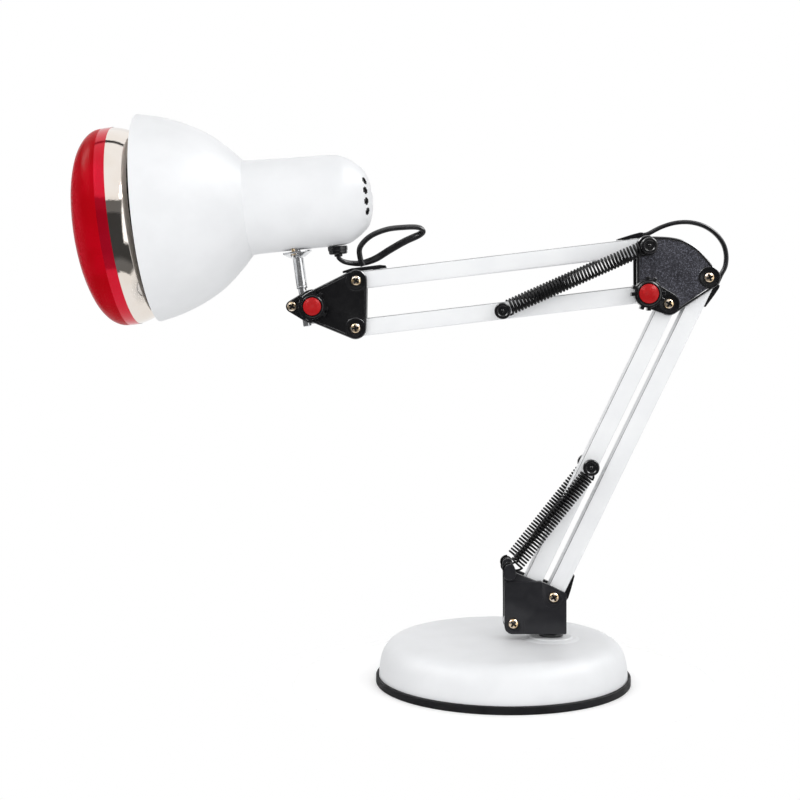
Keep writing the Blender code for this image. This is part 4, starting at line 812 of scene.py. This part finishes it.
def buildKnob(label, place, radius, capRadius, turn, face):
    # A round grip with four pairs of square teeth
    knob = {"tooth": 0.0019, "half": 6.4, "foot": 7.6, "spread": 13.0, "tall": 0.007, "collar": 0.0012,
            "well": 0.0016, "ball": 0.0095, "notch": (26, 38)}
    body = label + "_clamp_knob"
    foot = radius - knob["tooth"]

    def spot(reach, degrees):
        return reach * cos(radians(degrees)), reach * sin(radians(degrees))

    outline = []
    for pair in range(4):
        for side in (-1, 1):
            middle = turn + 90 * pair + knob["spread"] * side
            for offset, reach in ((-knob["foot"], foot), (-knob["half"], radius), (knob["half"], radius),
                                  (knob["foot"], foot)):
                outline.append((*spot(reach, middle + offset), 0.0003))
        start, wide = knob["notch"]
        outline += [spot(foot, turn + 90 * pair + start + wide * step / 5) for step in range(1, 5)]
    front = face - knob["tall"]
    top = front - knob["collar"]
    piece = asObject(label + "GripKnob", slab(filleted(outline, 3), front, face))
    cone = filleted([(0, top), (capRadius + 0.0012, top, 0.0004), (foot - 0.0008, front + 0.0012),
                     (0, front + 0.0012)], 3)
    joined(piece, spun(cone, 56, along="Y"))
    without(piece, rod(capRadius + gap, top - 0.004, top + knob["well"], steps=56),
            rod(0.0026, top - 0.004, face + 0.004, steps=24))
    eased(piece, 0.00034, 3, 42)
    piece.data.transform(atPlace(place))
    dress(piece, body, knobBlack, label + "_knob")

    ball = knob["ball"]
    floor = top + knob["well"] - gap
    lip = floor - knob["well"]
    spread = asin((capRadius - 0.0003) / ball)
    dome = [(0, floor + 0.0016), (0.0019, floor + 0.0016), (0.0019, floor), (capRadius - 0.0002, floor),
            (capRadius, floor - 0.0002), (capRadius, lip), (capRadius - 0.00008, lip - 0.0002)]
    for step in range(14, -1, -1):
        angle = spread * step / 14
        dome.append((ball * sin(angle), lip - 0.0003 - ball * (cos(angle) - cos(spread))))
    dress(asObject(label + "RedButton", spun(dome, 56, place, "Y")), body, redCap, label + "_knob_cap")


def springPost(label, body, place, inner):
    # A dished cap with a pip in its middle on each end of a sleeve
    cap = 0.0052
    dish = filleted([(cap, capFace), (cap, postEnd, 0.0009), (cap - 0.0017, postEnd, 0.0004),
                     (cap - 0.0023, postEnd - 0.0006, 0.0003), (0.0012, postEnd - 0.0006)], closed=False)
    outer = [(postRadius, inner), (postRadius, capFace), (cap, capFace)] + tuples(dish[1:])
    outer += [(0.0009, postEnd - 0.0002), (0.0005, postEnd), (0, postEnd)]
    front = [(radius, -height) for radius, height in outer]
    front += [(0, -springPlane - gap), (0.0023, -springPlane - gap), (0.0023, -inner)]
    rear = outer + [(0, -springPlane), (0.002, -springPlane), (0.002, inner)]
    for name, node, profile in (("CapFront", "_spring_cap", front), ("PostRear", "_spring_post", rear)):
        piece = asObject(f"{label}Spring{name}", spun(profile, 48, place, "Y"))
        dress(piece, body, satinBlack, label + node)


def buildJoint(joint, outline, eye=None):
    # screws: place, recess and turn of each. knob: place, radius, cap radius and turn.
    label = joint["label"]
    body = label + "_joint"
    buildPlates(joint, outline, eye)
    for corner, (place, recess, turn) in joint["screws"].items():
        jointScrew(f"{label}Screw{corner}", body, place, turn, f"{label}_screw_{corner.lower()}")
    if "post" in joint:
        springPost(label, body, joint["post"], plateOuter + gap)
    face = -plateOuter - joint["eyeRise"] - gap
    hexBolt(label + "HexBolt", body, label + "_bolt", joint["knob"][0], face - 0.0035)
    buildKnob(label, *joint["knob"], face)


def buildJoints():
    mid = {"label": "mid", "panel": grainBlack, "rings": [(midRight, 0.0069), (midPost, 0.0064)],
           "screws": {"Left": (midLeft, 0.0056, 30), "Right": (midRight, 0.0056, 70)}, "post": midPost,
           "through": [(midKnob, 0.0023), (midPost, 0.002)], "knob": (midKnob, 0.0108, 0.0061, 79),
           "eyeRise": 0.0004}
    circles = [(midRight, 0.007), (midPost, 0.0068), (midKnob, 0.0062), (midLeft, 0.0073)]
    buildJoint(mid, hullOutline(circles, 12, 0.0068), hullOutline([(midKnob, 0.0086), (midLeft, 0.0069)], 20))
    head = {"label": "head", "panel": satinBlack, "rings": [(headTop, 0.0066), (headBottom, 0.0066)],
            "screws": {"Top": (headTop, 0.005, 40), "Bottom": (headBottom, 0.005, 80)},
            "through": [(knobAxis, 0.0023)], "knob": (knobAxis, 0.0101, 0.0056, 69), "eyeRise": 0.0}
    buildJoint(head, hullOutline([(headTop, 0.007), (knobAxis, 0.0095), (headBottom, 0.007)], 16))


# Clamp, stem and flange
def buildClamp():
    screwPlace = knobAxis - Vector((0.0135, 0, 0))
    outline = hullOutline([(knobAxis, 0.0109), (screwPlace, 0.0039)], 20)
    for label, side in halves:
        near, far = layer(side, gap / 2, barHalf)
        piece = asObject("headClamp" + label, slab(outline, near, far, rim=0.0008))
        reach = barHalf + 0.004 if side < 0 else barHalf - 0.0018
        without(piece, rod(0.00295, -0.02, 0.02, stemSpace, 40, "Z"),
                rod(0.0026, near - 0.004, far + 0.004, knobAxis, 28),
                rod(0.0018, *layer(side, 0, reach), screwPlace, 24))
        eased(piece, 0.00015)
        dress(piece, "head_clamp", satinBlack, "clamp_" + label.lower())
    phillips("clampEyeScrew", "head_clamp", screwPlace, -barHalf - gap, barHalf - 0.0021, 30, "clamp_screw",
             head=0.003, shank=0.0015)

    stem = {"rod": 0.00265, "sleeve": 0.00345, "below": -0.012, "above": 0.0122, "end": 0.0318, "tip": 0.044}
    sleeve = stem["sleeve"]
    above = stem["above"]
    profile = [(0, stem["below"]), (stem["rod"], stem["below"], 0.0006), (stem["rod"], above)]
    profile += lifted(above, [(sleeve, 0, 0.0005), (sleeve, 0.0014, 0.0001),
                              (sleeve - 0.00015, 0.0016, 0.0001), (sleeve, 0.0018, 0.0001)])
    profile += [(sleeve, stem["end"], 0.0003), (0.002, stem["end"]), (0.002, stem["tip"]), (0, stem["tip"])]
    piece = asObject("chromeStem", spun(filleted(profile), 56, stemSpace))
    dress(piece, "lamp_head", chrome, "stem")

    low = 0.0321
    top = 0.036
    cup = filleted([(0.0023, low), (0.0046, low, 0.0004), (0.0058, low + 0.0007, 0.0015),
                    (0.0092, top - 0.001, 0.0005), (0.0092, top), (0.0023, top)])
    flange = asObject("stemCup", spun(cup, 64, stemSpace))
    without(flange, rod(0.0014, low - 0.004, top + 0.004, cupScrewSpace, 20, "Z"),
            rod(0.0022, low - 0.004, top - 0.0008, cupScrewSpace, 32, "Z"))
    dress(flange, "lamp_head", chrome, "stem_flange")
    face = top - 0.0008 - gap
    small = [(0, -0.0011), (0.0011, -0.00105), (0.0017, -0.0007), (0.0019, -0.0002), (0.0019, 0), (0.0011, 0),
             (0.0011, 0.0059), (0, 0.0059)]
    screw = asObject("cupScrew", spun(lifted(face, small), 28, cupScrewSpace))
    without(screw, *(boxed((-wide, -tall, face - 0.004), (wide, tall, face - 0.0006), cupScrewSpace)
                     for wide, tall in ((0.0011, 0.0002), (0.0002, 0.0011))))
    dress(screw, "lamp_head", yellowZinc, "flange_screw")


# Lamp head
def buildHead():
    shade = {"mouth": 0.066, "neck": 0.0305, "length": 0.0625, "wall": 0.001, "ring": 0.021,
             "shadowBand": (0.0036, 0.022),
             "bell": [(0, 0), (0.09, 0.22), (0.25, 0.46), (0.47, 0.68), (0.74, 0.86), (1, 1)]}
    wall = shade["wall"]
    drop = shade["mouth"] - shade["neck"]
    length = shade["length"]
    curve = smoothLine([(shade["mouth"] - drop * fall, length * run) for fall, run in shade["bell"]], 7)
    inner = [(point.x - wall, max(point.y - wall / 2, 0.0004)) for point in curve]
    profile = [(0.065, 0.0004), (0.0651, 0.0001), (0.0654, -0.0001), (0.0657, -0.0001)] + tuples(curve)
    profile += [(shade["ring"], length), (shade["ring"], length - wall)]
    profile += [point for point in inner[::-1] if point[0] > 0.0212 and point[1] < length - wall]
    bell = asObject("bellShade", spun(profile, 176, headSpace))
    back = headSpace.inverted()

    def isShadowBand(face):
        # Painted shadow: a dark band inside the mouth, where the gap round the bulb lies in shade
        place = back @ face.center
        inward = (back.to_3x3() @ face.normal).dot((place.x, place.y, 0)) < 0
        return shade["shadowBand"][0] < place.z < shade["shadowBand"][1] and inward

    paint(bell, 1, isShadowBand)
    dress(bell, "lamp_head", (whitePaint, rubberBlack), "shade", 30)

    holder = {"start": length - 0.0004, "front": 0.0298, "rear": 0.0289, "dome": 0.1175, "tall": 0.0247,
              "wall": 0.0012, "gland": 0.1165, "lean": 0.001, "vent": 0.0019, "ventRing": 0.017,
              "curve": [(0, 0), (0.03, 0.26), (0.107, 0.445), (0.24, 0.66), (0.4, 0.84), (0.68, 0.955),
                        (1, 1)]}
    # Its axis falls away 1 mm by the gland.
    lean = Matrix.Shear("XY", 4, (holder["lean"] / (holder["gland"] - length), 0))
    holderSpace = headSpace @ atPlace((0, 0, length)) @ lean @ atPlace((0, 0, -length))

    def holderLine(wall):
        rear = holder["rear"] - wall
        start = holder["start"]
        knots = [(rear + 0.0002, holder["dome"] - 0.012)]
        knots += [(rear - rear * fall, holder["dome"] + (holder["tall"] - wall) * run)
                  for fall, run in holder["curve"]]
        mouth = lifted(start, [(0.0303 - wall, 0), (0.0301 - wall, 0.0015), (holder["front"] - wall, 0.006)])
        return mouth + tuples(smoothLine(knots, 6))

    shell = asObject("lampHolder", spun(holderLine(0) + holderLine(holder["wall"])[::-1], 112, holderSpace))
    cutters = []
    vents = []
    for side in (-1, 1):
        for share in (-1.5, -0.5, 0.5, 1.5):
            angle = side * pi / 2 + share * radians(22.5)
            vents.append(Vector((cos(angle), sin(angle), 0)) * holder["ventRing"])
            ventSpace = holderSpace @ atPlace(vents[-1])
            cutters.append(rod(holder["vent"], holder["dome"], 0.15, ventSpace, 28, "Z"))
    cutters.append(rod(0.0023, 0.033, 0.045, stemSpace, 24, "Z"))
    cutters.append(rod(0.0014, 0.033, 0.045, cupScrewSpace, 20, "Z"))
    glandSpace = holderSpace @ atPlace((0, 0, holder["gland"]))
    cutters.append(rod(0.0029, 0, 0.034, glandSpace, 28, "X"))
    without(shell, *cutters)
    back = holderSpace.inverted()

    def isShadedInside(face):
        # Painted shade: the inside, and the walls of the vents, made dark so the vents show as black holes
        place = back @ face.center
        spot = Vector((place.x, place.y, 0))
        if place.z < holder["dome"]:
            return spot.length < holder["front"] - 0.0009
        return any(abs((spot - vent).length - holder["vent"]) < 0.0002 for vent in vents)

    paint(shell, 1, isShadedInside)
    dress(shell, "lamp_head", (whitePaint, satinBlack), "holder_shell", 30)

    seat = 0.02892 + gap
    gland = lifted(seat, [(0, 0), (0.0063, 0, 0.0003), (0.0063, 0.0026, 0.0004), (0.0059, 0.003, 0.0003),
                          (0.0059, 0.0052, 0.0012), (0.0027, 0.0052, 0.0001), (0.0025, 0.0066, 0.0002),
                          (0.0022, 0.0066, 0.0001), (0.0022, 0.0046), (0, 0.0046)])
    dress(asObject("cordGland", spun(filleted(gland), 56, glandSpace, "X")), "lamp_head", satinBlack,
          "cord_gland")


def buildBulb():
    # It sits a little askew in its socket, as in the photograph.
    bulb = {"radius": 0.0628, "border": -0.015, "bend": -0.02, "deep": 0.025, "lensWall": 0.0015,
            "wall": 0.0012, "span": 0.075, "cap": 0.094, "tail": 0.017, "neck": 0.0124,
            "lens": [(0.985, 0.25), (0.92, 0.48), (0.8, 0.68), (0.6, 0.85), (0.32, 0.96), (0, 1)],
            "mirror": [(1, 0), (0.965, 0.107), (0.888, 0.225), (0.729, 0.413), (0.484, 0.68),
                       (0.303, 0.92), (0.271, 1.05), (0.271, 1.1133)]}
    pivot = atPlace((0, 0, 0.108))
    bulbSpace = headSpace @ pivot @ Matrix.Rotation(radians(-1.55), 4, "Y") @ pivot.inverted()
    radius = bulb["radius"]
    border = bulb["border"] - gap / 2
    knots = [(radius, border + 0.0012), (radius, bulb["bend"])]
    knots += [(radius * wide, bulb["bend"] - bulb["deep"] * deep) for wide, deep in bulb["lens"]]
    line = [(radius, border)] + tuples(smoothLine(knots, 7)[1:])
    inside = [(max(0, x - bulb["lensWall"]), min(border, z + bulb["lensWall"])) for x, z in line]
    inside[-1] = (0, inside[-1][1])
    lens = asObject("lensDome", spun(line + inside[::-1], 160, bulbSpace))
    back = bulbSpace.inverted()
    # How far each point lies along the bulb's axis
    station = lens.data.attributes.new("station", "FLOAT", "POINT")
    for point, target in zip(lens.data.vertices, station.data):
        target.value = (back @ point.co).z

    def isSide(face):
        place = back @ face.center
        return place.z > -0.0212 and hypot(place.x, place.y) > radius - 0.0007

    paint(lens, 1, isSide)
    dress(lens, "lamp_head", (lensRed, lensSide), "bulb_lens", 50)

    def mirrorLine(wall):
        knots = [(radius * wide - wall, bulb["span"] * deep + bulb["border"]) for wide, deep in bulb["mirror"]]
        return [(x, max(z, bulb["border"] + gap / 2)) for x, z in smoothLine(knots, 6)]

    outer = mirrorLine(0)
    inner = mirrorLine(bulb["wall"])
    cap = bulb["cap"]
    neck = bulb["neck"]
    tail = filleted([(bulb["tail"], cap - 0.0057), (neck, cap - gap, 0.0005), (neck, cap + 0.0041),
                     (0, cap + 0.0041)], closed=False)
    profile = outer + [(bulb["tail"], cap - 0.0057)] + tuples(tail[1:]) + [(0, outer[-1][1])] + inner[::-1]
    dress(asObject("silverReflector", spun(profile, 160, bulbSpace)), "lamp_head", silverGlass,
          "bulb_reflector", 40)


# Springs and cords
def polyCurve(name, points, dimensions):
    curve = bpy.data.curves.new(name, "CURVE")
    curve.dimensions = dimensions
    spline = curve.splines.new("POLY")
    spline.points.add(len(points) - 1)
    for target, point in zip(spline.points, points):
        target.co = (*point, 1)
    thread = bpy.data.objects.new(name, curve)
    scene.collection.objects.link(thread)
    return thread


def tubeMesh(name, points, radius=0.0, section=None, tilts=()):
    # A round wire of the radius, or a tube with the section's outline
    thread = polyCurve(name + "Line", points, "3D")
    thread.data.use_fill_caps = True
    thread.data.twist_mode = "MINIMUM"
    for target, tilt in zip(thread.data.splines[0].points, tilts):
        target.tilt = tilt
    helpers = [thread]
    if section:
        helpers.append(polyCurve(name + "Section", [(x, y, 0) for x, y in section], "2D"))
        helpers[1].data.splines[0].use_cyclic_u = True
        thread.data.bevel_mode = "OBJECT"
        thread.data.bevel_object = helpers[1]
    else:
        thread.data.bevel_depth = radius
        thread.data.bevel_resolution = 2
    builder = bmesh.new()
    builder.from_mesh(evaluated(thread))
    for helper in helpers:
        bpy.data.objects.remove(helper, do_unlink=True)
    return asObject(name, builder)


def buildSpring(label, start, end, half, side, coils, aside, bodies):
    # Hook round one post, close coils, hook round the other post
    spring = {"wire": 0.00066, "radius": 0.0043, "margin": 0.0054, "around": 14, "sweep": radians(235),
              "lift": 0.0004, "hookSteps": 18}
    radius = spring["radius"]
    margin = spring["margin"]
    plane = side * springPlane
    along = (end - start).normalized()
    across = Vector((-along.z, 0, along.x))
    length = (end - start).length

    def place(u, v, w=0.0):
        # w is how far the point stands off the hooks' plane, away from the bars.
        return start + along * u + across * v + Vector((0, plane + side * w, 0))

    def hook(middle, first):
        angles = [-pi / 2 + spring["sweep"] * (first + step / spring["hookSteps"])
                  for step in range(spring["hookSteps"] + 1)]
        return [place(middle + hookRadius * cos(angle), hookRadius * sin(angle)) for angle in angles]

    lead = [(margin * 0.35, -hookRadius, 0), (margin * 0.72, aside * 0.7 - radius, 0.0001)]
    points = hook(0, -1) + [place(*spot) for spot in lead]
    total = coils * spring["around"]
    run = length - 2 * margin
    for step in range(total + 1):
        angle = tau * step / spring["around"]
        points.append(place(margin + run * step / total, aside - radius * cos(angle),
                            spring["lift"] + radius * sin(angle)))
    points += [place(length - u, v, w) for u, v, w in lead[::-1]] + hook(length, 0)
    piece = tubeMesh(f"{label}Spring{half}", points, spring["wire"])
    piece.data.shade_smooth()
    piece.data.materials.append(springBlack)
    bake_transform(piece)
    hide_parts(f"{label}_spring_{half.lower()}")


def buildSprings():
    lowerEnd = lowerLeft + polar(lowerReach, lowerAngle)
    upperStart = midKnob + polar(upperReach, upperAngle)
    for half in halves:
        buildSpring("lower", horn, lowerEnd, *half, 34, -0.0015, ("bracket", "lower_left"))
        buildSpring("upper", upperStart, midPost, *half, 41, 0, ("upper_bottom", "mid_joint"))


headRoute = [
    (-0.10433, 0, 0.26962), (-0.1039, 0.0002, 0.268), (-0.1011, 0.0022, 0.2661), (-0.096, 0.0046, 0.2651),
    (-0.0895, 0.0056, 0.2652), (-0.081, 0.0054, 0.268), (-0.072, 0.0048, 0.2735), (-0.0623, 0.0036, 0.279),
    (-0.0533, 0.0022, 0.2831), (-0.0505, 0.001, 0.2857), (-0.0542, 0, 0.2878), (-0.0634, -0.0004, 0.2877),
    (-0.074, -0.0006, 0.2863), (-0.0842, -0.0006, 0.282), (-0.0906, -0.0004, 0.2751),
    (-0.0905, -0.0002, 0.268), (-0.0886, 0, 0.2632),
]
midRoute = [
    (0.08898, 0, 0.28292), (0.0922, 0, 0.28365), (0.1005, 0, 0.28785), (0.1095, 0, 0.29055),
    (0.119, 0, 0.2909), (0.1279, 0, 0.2885), (0.1352, 0, 0.2836), (0.14, 0, 0.2771), (0.1418, 0, 0.27),
    (0.1412, 0, 0.263), (0.1386, 0, 0.2578), (0.1358, 0, 0.2519),
]


def flatSection(flex):
    # Twin flex: two round cores with a slight waist between them
    outline = []
    for step in range(flex["facets"]):
        angle = tau * step / flex["facets"]
        x = cos(angle)
        waist = 1 - flex["waist"] * max(0, 1 - abs(x) * 2.2)
        out = copysign(abs(sin(angle)) ** flex["full"], sin(angle))
        outline.append((flex["wide"] / 2 * x, flex["thick"] / 2 * out * waist))
    return outline


def buildCords():
    flex = {"wide": 0.0046, "thick": 0.003, "waist": 0.14, "full": 0.72, "facets": 24, "twist": 75,
            "twistAt": 0.4, "twistOver": 0.13}
    section = flatSection(flex)
    headLine = smoothLine(headRoute, 8)
    shares = [index / (len(headLine) - 1) for index in range(len(headLine))]
    twists = [radians(flex["twist"]) * exp(-((share - flex["twistAt"]) / flex["twistOver"]) ** 2)
              for share in shares]
    headCord = tubeMesh("headFlex", headLine, section=section, tilts=twists)
    midLine = smoothLine(midRoute, 8)
    midCord = tubeMesh("midFlex", midLine, section=section)
    for piece, line, node in ((headCord, headLine, "head_cord_loop"), (midCord, midLine, "mid_cord_loop")):
        dress(piece, None, cordBlack, node, 50)
    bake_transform(headCord)
    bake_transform(midCord)


buildCords()
print("cords laid")
buildBase()
buildBracket()
print("base and foot built")
buildArms()
buildJoints()
springPost("lower", "lower_left", lowerLeftBar @ Vector((lowerReach, 0, 0)), plateInner)
springPost("upper", "upper_bottom", upperBottomBar @ Vector((upperReach, 0, 0)), plateInner)
print("arms and joints built")
cupScrewSpace = stemSpace @ atPlace((-0.0019, -0.0062, 0))
buildClamp()
buildHead()
buildBulb()
print("lamp head built")
buildSprings()
print("springs wound")

# CAD solids that stay, mostly inside
kept = {
    "base_pad": rubberBlack, "base_weight": castIron, "swivel_nut": zincSteel, "swivel_pin": zincSteel,
    "lamp_socket": ceramicWhite, "bulb_cap": yellowZinc, "upper_cord_run": cordBlack,
    "lower_cord_run": cordBlack,
}
for name, material in kept.items():
    nodes[name].data.materials.clear()
    nodes[name].data.materials.append(material)


def buildFloor():
    ground = {"radius": 0.7, "tint": (0.78, 0.78, 0.78, 1), "rough": 0.9, "lift": 0.28, "near": 0.084,
              "far": 0.16}
    builder = bmesh.new()
    bmesh.ops.create_circle(builder, cap_ends=True, cap_tris=False, segments=96, radius=ground["radius"])
    floor = asObject("floor", builder)
    material = bpy.data.materials.new("floor")
    material.use_nodes = True
    tree = material.node_tree
    seen = newNode(tree, "LightPath").outputs["Is Camera Ray"]
    place = newNode(tree, "TexCoord").outputs["Object"]
    distance = newNode(tree, "VectorMath", {0: place}, operation="LENGTH").outputs["Value"]
    feed(tree, tree.nodes["Principled BSDF"], {
        "Base Color": ground["tint"], "Roughness": ground["rough"], "Emission Color": (1, 1, 1, 1),
        "Emission Strength": mathNode(tree, "MULTIPLY", seen, ground["lift"]),
        "Alpha": ramped(tree, distance, ground["near"], ground["far"], 1, 0)})
    floor.data.materials.append(material)


buildFloor()
print("all pieces made")
